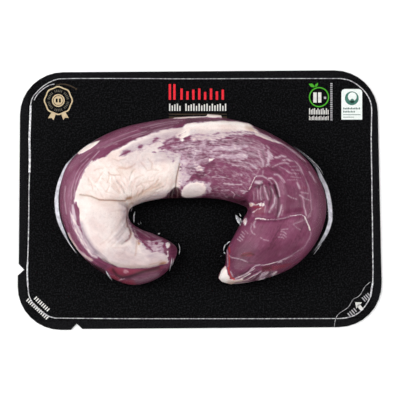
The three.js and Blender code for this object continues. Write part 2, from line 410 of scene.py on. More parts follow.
def spots(tint: Tint, *rows: tuple[float, ...], ragged: float = 0.0) -> tuple[Mark, ...]:
    """Makes filled ovals of one tint.

    Args:
        tint: what they do to the look.
        rows: for each a soft edge, a strength, a relief, its middle, its two radii and its turn.
        ragged: how far their edges wander.

    Returns:
        The marks.
    """
    outlines = []
    for *look, column, row, long, short, turn in rows:
        lean = math.radians(turn)
        outline = list(look)
        for angle in np.linspace(0, 2 * math.pi, SPOT_SIDES, False):
            x, y = long * math.cos(angle), short * math.sin(angle)
            outline.append(column + x * math.cos(lean) - y * math.sin(lean))
            outline.append(row + x * math.sin(lean) + y * math.cos(lean))
        outlines.append(tuple(outline))
    return patches(tint, *outlines, ragged=ragged)


# The fat cap, from the left bend over the arch's back and down the tail
FAT_CAP = patches(
    Tint.FAT,
    (1.5, 1, 0.35, 74, 200, 75, 194, 82, 176, 85, 170, 91, 162.5, 100, 158, 104, 158.5, 112, 151.5,
     118, 149, 133, 140.5, 163, 130.5, 182, 127.5, 184, 125.5, 192, 123.8, 210, 122, 220, 121.5,
     235, 122, 245, 123.5, 250, 125, 260, 133.4, 250, 131.2, 240, 130.8, 210, 133.2, 194, 133.6,
     188, 135, 184, 139.8, 181, 140.5, 179, 137.5, 174, 137.5, 168, 139, 163, 143, 163, 149, 169, 160,
     173, 183, 173, 190, 170, 190.5, 166, 195, 160, 198, 134, 205.5, 131, 208, 128, 217, 129, 222,
     135.5, 231, 138, 237, 146, 249, 152, 252, 158, 251.4, 162, 252.4, 167, 256.5, 168.3, 260.5,
     166.5, 264, 162, 266, 150, 268.2, 120, 268, 113, 266.8, 101, 260.4, 96, 256.6, 91, 250.5,
     87.5, 245, 81, 231.5, 79, 219, 79.6, 213, 79, 208),
    ragged=0.7,
)
# Slips of fat along the outer side: left bend, arch's back, right bend, and under the left bend
FAT_SLIPS = patches(
    Tint.FAT,
    (0.4, 1, 0.25, 77, 152.5, 80, 149, 88, 144, 95, 141, 100, 139.8, 97, 142.8, 90, 148, 78.5, 154),
    (0.7, 0.8, 0.2, 252, 130.4, 258, 131.8, 265, 134.6, 279, 141.8, 282, 144, 276, 142.6, 255, 134.8),
    (0.3, 1, 1.5, 206, 115.6, 209, 114.6, 215, 114.4, 220.5, 115.2, 221.2, 117.8, 214, 118.2,
     207, 117.8),
)
FAT_STRANDS = lines(
    Tint.FAT,
    (0.45, 0.8, 0.5, 174, 118.2, 207, 116.6),
    (1.1, 0.62, 0.2, 68.3, 233, 70.5, 238.5, 73.6, 243.8, 77.2, 248.4, 86, 256.3, 91, 259.6),
    (0.45, 0.85, 0.2, 83.5, 175, 88, 166, 91.8, 160.8),
    (0.42, 0.5, 0.3, 169.6, 192.4, 168.4, 195, 168, 197.6),
    (0.42, 0.6, 0.3, 173, 189, 172.6, 193, 171.4, 197),
    (0.5, 0.62, 0.3, 176.4, 188.6, 177.4, 192, 177, 196.6),
    (0.42, 0.4, 0.2, 163, 198.6, 178, 197.8),
    (1, 1, 0.5, 194, 130.5, 184, 136.8, 182, 140),
    ragged=0.2,
)
# The white knob at the arch's inner side
KNOB = patches(
    Tint.FAT,
    (1.4, 1, 0.5, 180.4, 191.6, 181.6, 188, 184, 185, 187.6, 182.6, 192.4, 181.2, 198, 181, 203, 182,
     205.6, 184.6, 206, 187.6, 204.6, 190.4, 201.6, 192.8, 197, 194.6, 190, 196, 184.6, 196,
     181.4, 194.6),
)
# Flecks on the arch, the bits at the inner bend, and the white tip of the butt
FAT_BITS = patches(
    Tint.FAT,
    (0.5, 0.75, 0.2, 208, 158, 215, 157.6, 212, 160.2, 208.4, 160.8),
    (0.8, 0.5, 0.1, 194, 166, 198, 164.8, 205, 167, 203, 170, 197, 171.3, 194, 170),
    (0.7, 0.72, 0.35, 247.3, 204, 249.5, 202.2, 253, 202.6, 255.5, 204.2, 253, 205.8, 249.5, 206.6),
    (0.7, 0.66, 0.35, 257.5, 203, 261, 201.8, 264, 202.5, 264.3, 205, 262, 206.8, 259, 205.5),
    (0.8, 0.66, 0.3, 242.3, 221, 244, 218.6, 246.3, 217.4, 246.8, 221, 245.2, 225.8, 243.6, 224),
    (0.35, 1, 0.5, 218.5, 277.5, 221.5, 269, 225, 265.5, 226.4, 268.5, 227.6, 274, 230.4, 278.8,
     236, 278.6, 243, 277.4, 241, 280.6, 234, 281.6, 229, 284.2, 224, 284, 221, 281),
    ragged=0.15,
)
TAIL_BIT = spots(
    Tint.FAT,
    (0.6, 0.95, 0.5, 166.7, 245, 2.1, 3.1, 20),
)
# Thin fat that breaks into streaks: on the arch, at the tail, and beside the left bend
THIN_FAT = patches(
    Tint.FAT,
    (3.5, 0.45, 0, 172, 142, 184, 141, 196, 142, 200, 150, 196, 158, 200, 165, 196, 172, 190, 177,
     186, 184, 180, 188, 176, 180),
    (3, 0.88, 0.25, 158, 145, 167, 147, 175, 151, 180, 155, 182, 178, 180, 186, 175, 190, 168, 190,
     160, 170),
    (2.5, 0.56, 0.1, 176, 151, 189, 160, 188, 168, 190, 175, 186, 181, 180, 186, 176, 178),
    (2.5, 0.45, 0, 162, 141, 172, 137, 182, 139, 187, 146, 180, 152, 170, 151, 162, 148),
    (1.8, 0.42, 0, 178, 190, 184, 182, 192, 178.6, 204, 179.4, 209.4, 184, 209.4, 190, 203, 195.6,
     190, 198.4, 182, 198),
    (2.5, 0.3, 0, 198, 138, 214, 137, 222, 148, 214, 160, 204, 158, 196, 150),
    (1.4, 0.45, 0.05, 213, 145.5, 247, 144, 251, 146, 232, 151, 222, 149.5),
    (1.4, 0.45, 0.05, 215, 157, 222, 152.5, 234, 154, 242, 152, 251, 154, 248, 157, 238, 158,
     228, 158.5),
    (2, 0.5, 0.1, 142, 241, 150, 238.6, 157, 238.2, 163.6, 241, 164.4, 246, 164, 253, 156, 253,
     147, 251),
    (2, 0.62, 0.05, 190, 133, 245, 130.6, 258, 132.5, 262, 136, 252, 134.6, 232, 135, 216, 139.6,
     198, 141.4, 190, 139.4),
    (1.5, 0.6, 0.1, 70.4, 212, 74, 214, 77, 219, 87.5, 244, 93, 251.5, 99, 258, 93, 258, 86.4, 252,
     82, 245.4, 73, 228, 71, 221),
    ragged=0.8,
)
FAT_THREADS = lines(
    Tint.FAT,
    (0.45, 0.8, 0.2, 166.8, 251, 167.1, 255, 166.8, 259),
    (0.6, 0.75, 0.3, 255.5, 204.5, 258, 203.8),
    (0.6, 0.5, 0.2, 261, 207.4, 256, 209.2, 252, 212),
    (0.42, 0.72, 0.35, 248, 190, 250, 186.5, 252.5, 180, 254, 177.5, 256, 175.7),
    (0.45, 0.55, 0.2, 134.6, 229, 138.8, 238.6, 138.4, 243),
    (0.6, 0.6, 0.3, 228, 283.2, 254, 281),
    (0.5, 0.9, 0.4, 254.4, 217.8, 257, 217.2, 265, 218.5),
    (0.33, 0.52, 0.25, 265, 218.5, 272, 218.8, 278, 218.4),
    (0.34, 0.6, 0.25, 290, 215.4, 300, 214, 302.5, 214.5, 304, 216),
    (0.5, 0.95, 0.45, 304, 216, 308, 225, 309.3, 229.3),
    (0.36, 0.56, 0.2, 281, 259.3, 270, 263, 263, 264.5),
    (0.6, 0.66, 0.35, 232, 279.6, 237, 278.8, 242, 277.2, 250, 272.8),
    (0.45, 0.62, 0.3, 240, 280, 246, 279, 254, 274.2, 257, 273),
    (0.4, 0.52, 0.25, 235, 277.4, 245, 272.8, 250, 270.2, 254, 267.6),
    (0.4, 0.5, 0.25, 244, 280.2, 251, 279, 254.6, 276.4),
    (0.9, 0.62, 0.3, 271.6, 274.4, 275.4, 271),
    (0.6, 0.6, 0.3, 257.5, 279.6, 260, 277.6, 263.5, 277.4),
    (0.45, 0.55, 0.2, 262, 275.6, 264.6, 273.6, 266.8, 273.2),
    (0.4, 0.5, 0.2, 259, 276, 261.6, 273.2),
    (0.45, 0.5, 0.15, 115.6, 284, 117, 281, 119.4, 279, 124, 278.2),
    ragged=0.15,
)

# Muscle showing through the fat cap on the arch
CAP_GAPS = patches(
    Tint.BARE,
    (1.4, 0.82, -0.1, 119.6, 155.6, 121.6, 151.2, 126, 149, 131, 149.4, 129.6, 152.8, 125, 155),
    (1.4, 0.78, -0.1, 136, 146.4, 139.6, 143.4, 144, 143.4, 142.4, 147, 140.5, 149, 137.6, 148),
    (1.4, 0.84, -0.1, 147, 144.6, 151.6, 141.6, 153.6, 138, 157, 136.6, 161, 138, 151.6, 144),
    (3, 0.34, 0, 118, 153, 130, 146, 165, 134, 182, 132, 186, 139, 170, 143, 132, 156),
    ragged=0.8,
)
CAP_SPOTS = spots(
    Tint.BARE,
    (0.8, 0.8, -0.1, 155.3, 151.1, 2.6, 1.1, 0),
    (0.6, 0.8, 0, 187.4, 138, 2.8, 1.2, -12),
    (2.2, 0.4, 0, 176, 145, 9, 5, -8),
    (2.2, 0.5, 0, 187, 154, 5, 4, 0),
    (1.2, 0.4, 0, 188, 167.5, 4, 3, 0),
    (2.5, 0.42, 0, 166, 149, 10, 3.6, -12),
    (1.5, 0.4, 0, 168, 136.4, 12, 2.4, -22),
    (1.5, 0.3, 0, 171, 157, 5, 6, 0),
    ragged=1.4,
)
CAP_STREAKS = lines(
    Tint.BARE,
    (0.9, 0.75, 0, 159, 148, 164, 145.7, 170, 144.3),
    (0.7, 0.8, 0, 163, 148.5, 168, 146.8, 171, 147.5),
    (0.8, 0.85, 0, 175, 149, 187, 148.5),
    (0.5, 0.6, 0, 178.5, 135, 186, 131.5),
    (0.6, 0.7, 0, 181.5, 155, 181, 159),
    (0.6, 0.6, 0, 180.6, 163, 180.4, 170),
    ragged=0.8,
)
# The purple window beside the left bend, and streaks in the fat's outer margin
WINDOW = patches(
    Tint.BARE,
    (0.4, 1, -0.1, 74.3, 207, 76, 204, 78.6, 208.5, 79.3, 213, 77.8, 217.5, 78.8, 223, 80, 226.5,
     76.5, 224, 75.5, 217, 74.2, 211),
    ragged=0.15,
)
MARGIN_STREAKS = lines(
    Tint.BARE,
    (0.5, 0.45, 0, 79, 225.6, 82.4, 234),
    (0.6, 0.5, 0, 84.5, 168, 81.5, 174, 76.5, 189),
    ragged=0.4,
)
# The tail's inner side, where the muscle comes out of the fat
TAIL_EDGE = lines(
    Tint.BARE,
    (2.2, 0.45, 0, 127.6, 208, 127, 219, 130, 227, 143, 244),
    (1, 0.4, 0, 128, 226, 130.6, 231, 129, 236.6, 126, 240),
    ragged=0.8,
)
TAIL_MUSCLE = patches(
    Tint.BARE,
    (0.6, 1, -0.1, 134, 226, 149, 231, 161, 237.4, 156, 239.6, 151, 241, 147, 239, 142, 235.4,
     137, 230.8),
    ragged=0.4,
)
TAIL_STREAKS = lines(
    Tint.BARE,
    (0.8, 0.8, -0.2, 141, 239.5, 144.5, 244.5, 148.5, 246.6, 151.5, 250),
    (0.8, 0.85, -0.2, 162.6, 239, 163.8, 246, 165.6, 251.5),
    (0.6, 0.7, -0.2, 131.6, 226, 134.8, 235, 136.8, 238.6),
    ragged=0.3,
)
TAIL_HOLE = spots(
    Tint.BARE,
    (0.4, 0.9, 0, 156, 243.2, 1.7, 1.4, 0),
)

# Silver skin along the arch: a broad thin veil, and the brighter streaks in it
VEILS = patches(
    Tint.VEIL,
    (2.5, 0.57, 0, 168, 141, 184, 139, 216, 138, 240, 134, 254, 137, 263, 143, 268, 151, 268, 159,
     262, 170, 246, 172, 216, 160, 206, 166, 196, 166, 190, 176, 182, 184, 178, 168),
    (2.5, 0.42, 0, 190, 172, 206, 166, 216, 160, 246, 172, 262, 170, 244, 196, 226, 200, 207, 198,
     208, 182),
    (2.5, 0.3, 0, 262, 160, 262, 142, 274, 145, 288, 152, 298, 160, 306, 172, 311, 190, 308, 200,
     296, 196, 288, 176, 276, 168, 264, 168),
)
VEIL_STREAKS = patches(
    Tint.VEIL,
    (0.8, 0.9, 0, 70.4, 203, 73.6, 202, 76.6, 220, 74, 221, 71.4, 213),
    (0.8, 0.95, 0.1, 214, 145.5, 246, 144, 250, 146, 243, 148.5, 232, 151, 215, 149),
    (0.8, 0.95, 0.1, 216, 157, 222, 152.5, 234, 154, 242, 152, 250, 154, 248, 157, 238, 158,
     228, 158.5),
    (1, 1, 0, 180, 170, 186, 172, 190, 175, 187, 181, 182, 186, 179, 184),
    (1, 1, 0, 180, 160, 186, 158, 189, 162, 187, 167, 181, 166),
    (0.8, 0.8, 0, 196, 143.5, 206, 145, 204, 150, 196, 149),
    (0.8, 0.6, 0, 247, 173, 250, 175, 251, 182, 249.6, 186, 247.4, 181),
    (1, 0.95, 0.2, 252.6, 180.4, 257, 178.8, 262.4, 180, 261.6, 183.2, 258, 184.6, 254, 183.6),
    (1, 0.55, 0.1, 254.6, 281, 256, 277.4, 262, 271.6, 272, 269.8, 279.6, 272.6, 277, 277, 270, 281.4),
    (1, 0.8, 0.1, 266, 150, 269, 149, 272.6, 153.6, 273, 158, 269.6, 159.4, 267.4, 165, 265.6, 165),
    (0.8, 0.85, 0, 206.5, 181, 210.5, 182.5, 211, 188, 208.5, 191.5, 206.5, 190),
    ragged=0.7,
)
VEIL_LINES = lines(
    Tint.VEIL,
    (0.7, 1, 0.1, 223, 183, 232, 184.3, 241, 183.5),
    (0.6, 0.95, 0.1, 221, 139.6, 229, 139.2, 236, 137.8),
    (0.5, 0.9, 0, 228, 136, 236, 136.6, 244, 138),
    (0.6, 0.95, 0.1, 234, 160, 246, 162, 252, 165, 256, 168),
    (0.5, 0.9, 0, 231, 164.5, 240, 165.2, 248, 166.5),
    (0.6, 0.95, 0.1, 240, 190, 247, 191.6, 242, 193),
    (0.5, 0.9, 0, 230, 190.5, 234, 194, 233, 197.5),
    (0.6, 0.9, 0, 203.5, 174.5, 209, 172.3),
    (0.6, 0.9, 0, 250, 146.5, 263, 149.5),
    (0.5, 0.85, 0, 212, 176.5, 222, 177, 231, 178.5),
    (0.6, 0.9, 0, 190, 161, 198, 160, 206, 158),
    (0.5, 0.85, 0, 221, 190, 229, 189.6),
    (0.6, 0.9, 0, 222, 152, 204, 153),
    ragged=0.5,
)
VEIL_SPOTS = spots(
    Tint.VEIL,
    (0.6, 0.9, 0.2, 241, 174.5, 1.6, 1.5, 0),
    (1, 0.8, 0.1, 125.5, 272, 3, 1.8, 8),
    (0.8, 0.7, 0, 173, 194, 2.2, 2, 0),
    (0.6, 0.6, 0, 178, 192.5, 0.9, 1.6, 0),
)
# Short strands and squiggles above and beside the fold
FOLD_SQUIGGLES = lines(
    Tint.PALE,
    (0.72, 0.6, 0.1, 258, 150.5, 259.5, 156, 262, 160.5, 263, 165.5),
    (0.72, 0.65, 0.12, 267.5, 150, 268.7, 155, 268, 160, 265.8, 165.5),
    (0.56, 0.7, 0.1, 261, 143.5, 263, 145, 264, 147.5),
    (0.56, 0.4, 0.05, 266, 145, 268.5, 147.5),
    (0.56, 0.7, 0.1, 270.5, 153.5, 272, 156),
    (0.64, 0.8, 0.12, 274.8, 156.8, 277.5, 157, 280.5, 155.2, 285, 156.3),
    (0.52, 0.7, 0.1, 282, 160, 287, 158.6, 289.5, 160),
    (0.44, 0.5, 0.05, 289.5, 160, 294, 160.6, 297, 163, 299.3, 166, 303, 174),
    (0.4, 0.3, 0.03, 303, 174, 307.5, 184.5, 309.3, 191, 310.5, 200, 311, 208, 310, 213, 307, 216),
    (0.48, 0.5, 0.05, 272, 166.5, 279, 163, 284, 162, 288.5, 163),
    (0.4, 0.45, 0.05, 279, 166, 283, 168, 285, 168.6),
    (0.48, 0.55, 0.07, 286, 170, 288.8, 172),
    (0.6, 0.65, 0.12, 274, 174, 277.5, 174, 280, 176.4, 284, 181.6),
    (0.36, 0.3, 0, 290, 166, 297, 165.6),
    (0.36, 0.32, 0, 291, 169.2, 299, 169.8),
    (0.36, 0.3, 0, 290, 172.3, 298, 173.2),
    (0.36, 0.32, 0, 290, 176.2, 300, 177.2),
    (0.36, 0.28, 0, 287, 179.4, 297, 179.2),
    (0.64, 0.75, 0.1, 296.5, 182.2, 299.5, 187.6),
    (0.48, 0.65, 0.05, 299.3, 194.6, 303.3, 197.2),
    (0.4, 0.45, 0.05, 287.5, 195, 291, 197.2, 296, 198.6),
    (0.4, 0.35, 0, 300, 191.5, 308, 193),
    (0.4, 0.35, 0, 303, 197.6, 310, 200),
    (0.44, 0.6, 0.07, 302, 196, 303, 201, 303.5, 206, 305, 210, 306, 215),
    (0.48, 0.6, 0.05, 309, 171.5, 315.3, 181.5),
    (0.42, 0.55, 0.1, 279, 142, 285, 145.6, 291, 149.8, 302, 158.6),
    (0.4, 0.45, 0.05, 279, 142.5, 288, 147, 294, 151, 300, 156, 305, 161),
)
# The fold's own strands, with painted glints along them, and the veil over its top
FOLD_STRANDS = lines(
    Tint.PALE,
    (0.48, 0.3, 0.1, 252.3, 192.5, 253, 196, 253, 199.5),
    (0.48, 0.5, 0.15, 256, 187, 257, 192, 257.4, 198.5),
    (0.4, 0.45, 0.15, 260.3, 184.5, 259.6, 192, 260.6, 199.5),
    (0.56, 0.6, 0.17, 263.6, 185, 264.6, 190, 267.8, 199),
    (0.48, 0.35, 0.12, 263.5, 201, 265, 206, 264, 212),
    (0.56, 0.55, 0.17, 270, 186, 272.5, 191, 274.5, 197),
    (0.64, 0.75, 0.2, 274.5, 197, 273.5, 203, 269, 211.5),
    (0.4, 0.35, 0.1, 276.3, 194, 275.9, 201, 275, 207),
    (0.6, 0.75, 0.17, 281, 204, 280.2, 209, 277.4, 216),
    (0.4, 0.35, 0.05, 282.5, 210, 281, 214.5),
    (0.48, 0.8, 0.2, 268, 177.6, 271, 177.2, 273.4, 178.6, 275.3, 181, 278.2, 189, 279, 195),
    (0.4, 0.5, 0.1, 266.5, 178.5, 269.5, 180, 271.3, 183.2),
    (0.64, 0.55, 0.1, 256, 175.6, 262, 175.4, 265.5, 177.2),
    (0.56, 0.5, 0, 255.8, 182, 258, 183.4, 261, 182),
    (0.48, 0.4, 0, 256.6, 173, 259, 168.5),
    (0.48, 0.35, 0, 262, 175, 262.6, 170),
)
# The membrane over the right leg, where it is thin
LEG_MEMBRANE = lines(
    Tint.PALE,
    (0.4, 0.45, 0.15, 278, 218.4, 284, 217.4, 290, 215.6),
    (0.4, 0.3, 0.12, 309.5, 229.5, 310.5, 233, 309, 238, 303, 246, 299, 249),
    (0.4, 0.28, 0.1, 299, 249, 294, 252, 290, 255),
    (0.42, 0.6, 0.15, 290, 255, 279, 260),
    (0.36, 0.35, 0.05, 293, 254, 284, 258.8),
    (0.48, 0.7, 0.1, 277.5, 261.6, 281, 261),
    (0.44, 0.65, 0.2, 263, 264.5, 259, 264, 255, 264.6, 252, 267, 249, 270.4, 246, 273, 235, 278),
    (0.4, 0.3, 0, 293, 223.5, 300, 221, 305, 218.6, 310, 215),
    (0.4, 0.25, 0, 293, 224, 296, 227, 299.5, 229),
    (0.64, 0.6, 0.1, 254.5, 220.5, 253, 224, 254, 226.5),
    (0.4, 0.4, 0.05, 251, 223, 250.4, 229, 252, 232.3, 254.5, 234),
    (0.4, 0.5, 0.15, 228, 254.6, 231, 257, 236, 257.8),
    (0.4, 0.4, 0.15, 236, 257.8, 241, 259, 247, 261.5),
    (0.4, 0.6, 0.15, 226.5, 249, 227.4, 254, 227, 260, 227.5, 266),
    (0.4, 0.6, 0.1, 230, 271, 232.3, 276),
)
# Painted glints on faint ridges of the leg, drawn as pale lines with a little relief
LEG_RIDGES = lines(
    Tint.PALE,
    (0.36, 0.5, 0.05, 241.5, 231, 244, 233.6),
    (0.36, 0.6, 0.05, 240.6, 234, 243.4, 236.8),
    (0.36, 0.6, 0.05, 239, 236.4, 242, 239.4),
    (0.36, 0.6, 0.05, 237, 238.6, 240, 240.6),
    (0.36, 0.35, 0.05, 245, 230.4, 247.4, 233),
    (0.36, 0.45, 0.05, 281, 229.4, 284, 228.6, 287.5, 228.4),
    (0.36, 0.5, 0.05, 280.6, 231, 283, 231.2, 286, 233.5),
    (0.36, 0.5, 0.05, 280, 234, 283, 234.2, 285.5, 236.6),
    (0.36, 0.4, 0.05, 278, 236.6, 282, 236.6, 283.6, 238.2),
    (0.36, 0.4, 0.05, 260, 237, 263, 239, 268, 240.2),
)
# The striped end of the butt
BUTT_STRIPES = lines(
    Tint.PALE,
    (0.5, 0.6, 0.2, 254, 275.6, 260.4, 270.8),
    (0.8, 0.9, 0.3, 259.5, 279.4, 263, 277.2),
    (0.7, 0.7, 0.2, 259.6, 276, 263, 273.2, 267, 271.4),
)
# Pale lines on the tail's inner side
TAIL_LINES = lines(
    Tint.PALE,
    (0.6, 0.26, 0.1, 135, 227.6, 149, 236.6),
    (0.5, 0.22, 0.1, 140, 229, 148, 233, 156, 237.6),
    (0.5, 0.2, 0.1, 147, 231, 162, 239.4),
    (1.2, 0.3, 0, 166.6, 238.6, 170.6, 240.4, 173.6, 243.6),
    ragged=0.3,
)
# Pale lines in the left strip
STRIP_LINES = lines(
    Tint.PALE,
    (1.6, 0.08, 0, 74, 172, 69.8, 182, 68.6, 192, 68.8, 202, 69.8, 214, 72.5, 226, 77, 237),
    (2.5, 0.09, 0, 70, 168, 80, 156, 94, 147, 126, 134),
    (0.5, 0.34, 0.05, 104, 147, 116, 141.4, 130, 136, 146, 131.4),
    (0.4, 0.3, 0.05, 110, 139.4, 124, 133.6, 138, 129.4),
    (0.5, 0.3, 0.05, 132, 137.4, 160, 129.4, 172, 126.4),
    (0.4, 0.3, 0.05, 140, 127.6, 154, 124, 168, 121.6, 182, 120.4),
    (0.4, 0.26, 0, 150, 127.6, 164, 124.4, 178, 122.6),
    (0.45, 0.6, 0.05, 98.4, 150.4, 94, 155.5, 90.4, 160.6, 84, 171, 80, 179, 77.5, 187, 76, 194),
    (0.4, 0.4, 0, 93, 156.4, 86, 164.4, 80, 172.4, 76.4, 180, 74, 188, 73.2, 196),
    (0.4, 0.3, 0, 88, 157.6, 80, 166, 74.4, 176, 71.4, 187, 70.6, 198),
    (0.4, 0.25, 0, 112, 142, 98, 148, 88, 153.6, 80, 161),
    (0.5, 0.35, 0, 113, 143.5, 117, 143.8),
    (0.5, 0.3, 0, 96.5, 147.5, 98, 146.6),
    (0.5, 0.3, 0, 64.6, 186, 64.2, 200, 66, 213),
    (2.2, 0.14, 0, 134, 279.6, 146, 278.4, 156, 275.6),
    ragged=0.2,
)

# Painted shade in the crease across the left bend, the waist crease and the dark corner under it, and in
# the meat's other creases and grooves
CREASES = lines(
    Tint.DARK,
    (0.4, 0.45, -0.6, 79, 194, 85, 194.3, 90, 195.3, 95, 197.5, 100, 199.2),
    (0.42, 0.6, -0.8, 98, 198.8, 113, 199.9, 126, 201.6),
    (0.42, 0.6, -0.7, 178.8, 163, 178.3, 168, 175.9, 177, 175, 190),
    (0.6, 0.6, -0.5, 127.4, 207, 126.6, 219, 127.8, 225, 130.4, 229.6),
    (1.8, 0.22, -0.3, 128.4, 207, 127.2, 219, 129, 225, 136, 236),
    (0.8, 0.42, -0.4, 130, 229, 131, 233.4, 129, 237.6, 121.4, 243.4),
    (1, 0.2, -0.4, 126, 221, 122, 228, 116, 235),
    (1, 0.2, -0.4, 127, 226, 123.4, 232, 118, 238.4),
    (1.4, 0.12, -0.4, 124, 217, 119, 224.4, 112.6, 231),
    (1.2, 0.14, -0.4, 129, 236, 124, 241, 117.6, 245),
    (0.6, 0.5, -0.3, 133, 228, 138, 234, 144, 239.4),
    (0.6, 0.4, -0.3, 135, 227, 139, 233, 143, 237, 147, 240),
    (0.9, 0.2, -0.3, 81.5, 228, 84, 234.5, 87, 240, 91, 246, 96, 252),
    (1.2, 0.6, -0.2, 101, 260.4, 114, 267.4),
    (0.5, 0.35, -0.2, 91, 258.8, 98, 262.6, 105, 267),
    (0.45, 0.3, -0.3, 116, 180.5, 120.5, 185, 124, 192),
    (0.4, 0.25, -0.3, 131.5, 171.5, 129.6, 176, 129, 179.4),
    (0.5, 0.14, -0.2, 155, 190, 163, 186.4),
    (1.1, 0.8, -0.4, 112, 270.5, 117, 275.5, 122, 277, 128, 276.6, 142, 272.8, 160, 269.6),
    (0.9, 0.9, -0.6, 274, 184, 277.4, 196),
    (0.9, 0.45, -0.5, 277.4, 196, 278.2, 202, 277.8, 208, 276, 215),
    (1, 0.6, -0.3, 228, 197.5, 234, 199.5, 246, 206.5),
    (0.8, 0.4, -0.2, 236, 195.5, 243, 198.6),
    (0.6, 0.6, -0.3, 268.5, 183, 270.4, 187.5, 271, 192, 270.3, 198, 268, 205),
    (0.5, 0.5, -0.2, 265.6, 186, 269, 197),
    (1.6, 0.35, -0.2, 272, 168, 276, 169.4, 279, 172),
    (0.7, 0.5, -0.3, 261.8, 181, 259, 184, 255.5, 186),
    (0.6, 0.3, -0.2, 262, 187, 263.5, 199),
    (0.6, 0.25, -0.2, 255, 189, 255, 198),
    (0.5, 0.4, -0.2, 279, 219.6, 285, 218.6, 290, 216.8),
    (0.5, 0.4, -0.2, 256, 219.6, 266, 220.3, 276, 220),
    (0.5, 0.3, -0.1, 303, 217.5, 305, 221, 308.4, 230),
    (0.8, 0.6, -0.15, 241.5, 255, 250, 253.2, 253, 254),
    (0.5, 0.35, -0.2, 247, 262.4, 257, 262.8),
    (0.6, 0.45, -0.3, 240, 274.4, 246, 271.4, 250, 267),
    (0.6, 0.5, -0.3, 243, 277.6, 257, 270.8),
    (0.6, 0.5, -0.3, 250, 279.4, 256, 275.8, 260, 272.6),
    (0.7, 0.45, -0.3, 265, 279, 270, 271.5),
    (0.8, 0.3, -0.3, 240, 203, 246, 206, 250, 211, 247, 217),
    (0.5, 0.4, 0, 262, 150, 264.6, 158),
    (0.6, 0.3, 0, 271, 170.5, 276, 167.4, 283, 165.5),
    (0.6, 0.35, 0, 270, 143.6, 276, 145.6, 283, 149),
)
# Painted shade: the corner under the waist crease, a blot at the inner bend, notches by the fold and the
# butt, and near-black beside the outline at the arch's back and under the left bend
SHADE_PATCHES = patches(
    Tint.DARK,
    (0.8, 0.85, -0.2, 165, 199, 170.5, 191.6, 174.6, 187.5, 177.4, 187, 180.5, 190, 181, 194.5,
     184, 196.8, 206, 196, 214, 202, 166, 203),
    (0.8, 0.4, 0, 117, 200.6, 124, 201.2, 128.5, 204, 128.5, 211, 125, 207, 119, 203.4),
    (1.8, 0.55, 0, 256, 126, 285, 137, 300, 148, 310, 158, 314, 165, 280, 141, 270, 135, 260, 130.4),
    (0.9, 0.95, 0, 80, 255.4, 88, 263, 112, 283.6, 110, 277.4, 106.4, 271.6, 102, 267.8, 90, 261.6,
     84, 257.4),
    (0.7, 0.55, -0.2, 252.5, 187.8, 255, 185, 261, 182, 262.5, 184, 258, 188.5),
    (0.7, 0.55, 0, 261, 266, 271, 265.6, 272, 268.5, 262, 270.4),
)
# Painted shade in the fat's fine wrinkles, which are also sunk in relief
FAT_WRINKLES = lines(
    Tint.CREVICE_SHADE,
    (0.5, 1, -0.4, 108, 171.6, 110, 174, 114, 174.7, 119.5, 174.3),
    (0.5, 0.7, -0.3, 109, 174, 108.5, 178, 106.8, 182),
    (0.5, 0.8, -0.3, 109.5, 185, 105.6, 191.6),
    (0.6, 0.6, -0.3, 102, 172, 96, 181.5),
    (0.5, 0.6, -0.3, 134.5, 168.4, 131.5, 171.5),
    (0.6, 0.5, -0.3, 135, 178.4, 138, 176.4, 142, 175),
    (0.5, 0.7, -0.3, 140.6, 161.6, 146, 168.4),
    (0.8, 0.9, -0.2, 119, 167, 126, 168, 131, 166.2, 134.5, 163.6),
    (0.5, 0.7, -0.2, 143.5, 182.4, 153.5, 180),
    (0.6, 0.9, -0.3, 154.5, 184, 158, 178.8),
    (0.5, 0.6, -0.2, 110, 186, 116.5, 186.2),
    (0.5, 0.6, -0.3, 94, 170, 98, 168, 103, 167.6),
    (0.5, 0.6, -0.3, 88, 178, 91, 183, 92.5, 189),
    (0.5, 0.6, -0.3, 147, 170, 153, 169, 158, 170),
    (0.5, 0.6, -0.3, 136, 186, 141, 184, 144, 187, 142, 191),
    (0.5, 0.6, -0.3, 112, 158, 118, 160, 125, 158),
    (0.6, 0.6, -0.3, 148, 158, 152, 163, 151, 168),
    (0.6, 0.4, -0.3, 126, 226, 118, 234, 108, 242),
    (0.6, 0.4, -0.3, 124, 232, 118, 239, 110, 246),
    (0.6, 0.35, -0.2, 112, 247.3, 119, 247, 127, 247.6),
    (0.7, 0.3, -0.2, 112, 210.5, 119, 209.6, 125, 210.6),
    (0.6, 0.35, -0.2, 100, 244, 107, 239, 112, 232),
    (0.45, 0.7, -0.3, 250, 131.4, 258, 133, 266, 136.2, 274, 140.2),
    (0.4, 0.5, -0.2, 258, 135, 273, 141),
    (0.6, 0.4, -0.2, 118, 256, 124, 252, 126, 246),
)

# Brighter fat, partly painted highlight: the cap's outer rim, the wrinkles' ridges and the edge beside the
# waist crease get painted highlights; the rope, the knob and the white bits are whiter fat
BRIGHT_LINES = lines(
    Tint.WHITE,
    (1, 0.3, 0, 117, 150, 133, 142, 149, 137),
    (1, 0.5, 0, 184, 127, 212, 124, 235, 124.2, 249, 127),
    (0.9, 0.45, 0, 194, 130.5, 184, 136.8, 182, 140),
    (0.6, 0.8, 0.2, 178, 156.5, 178.2, 162, 177.8, 166.5),
    (0.6, 0.5, 0, 142, 239, 147, 241.8, 151.5, 245),
    (0.9, 0.4, 0.2, 124.4, 222, 120, 229.4, 114.4, 236),
    (0.9, 0.4, 0.2, 126.6, 228.4, 122.4, 235, 117, 241),
    (0.6, 0.5, 0.1, 110, 177, 110, 184, 108, 191),
    (0.6, 0.4, 0.1, 101, 176, 98, 182, 96, 188),
    (0.6, 0.4, 0.1, 133, 173, 129, 184),
    (0.6, 0.4, 0.1, 121, 182, 125, 187, 127, 193),
)
BRIGHT_SPOTS = spots(
    Tint.WHITE,
    (1, 0.6, 0, 166.7, 245, 2, 3.2, 20),
    (2, 0.6, 0, 223, 277, 4, 8, 20),
    (3, 0.3, 0, 86, 204, 6, 9, 0),
)
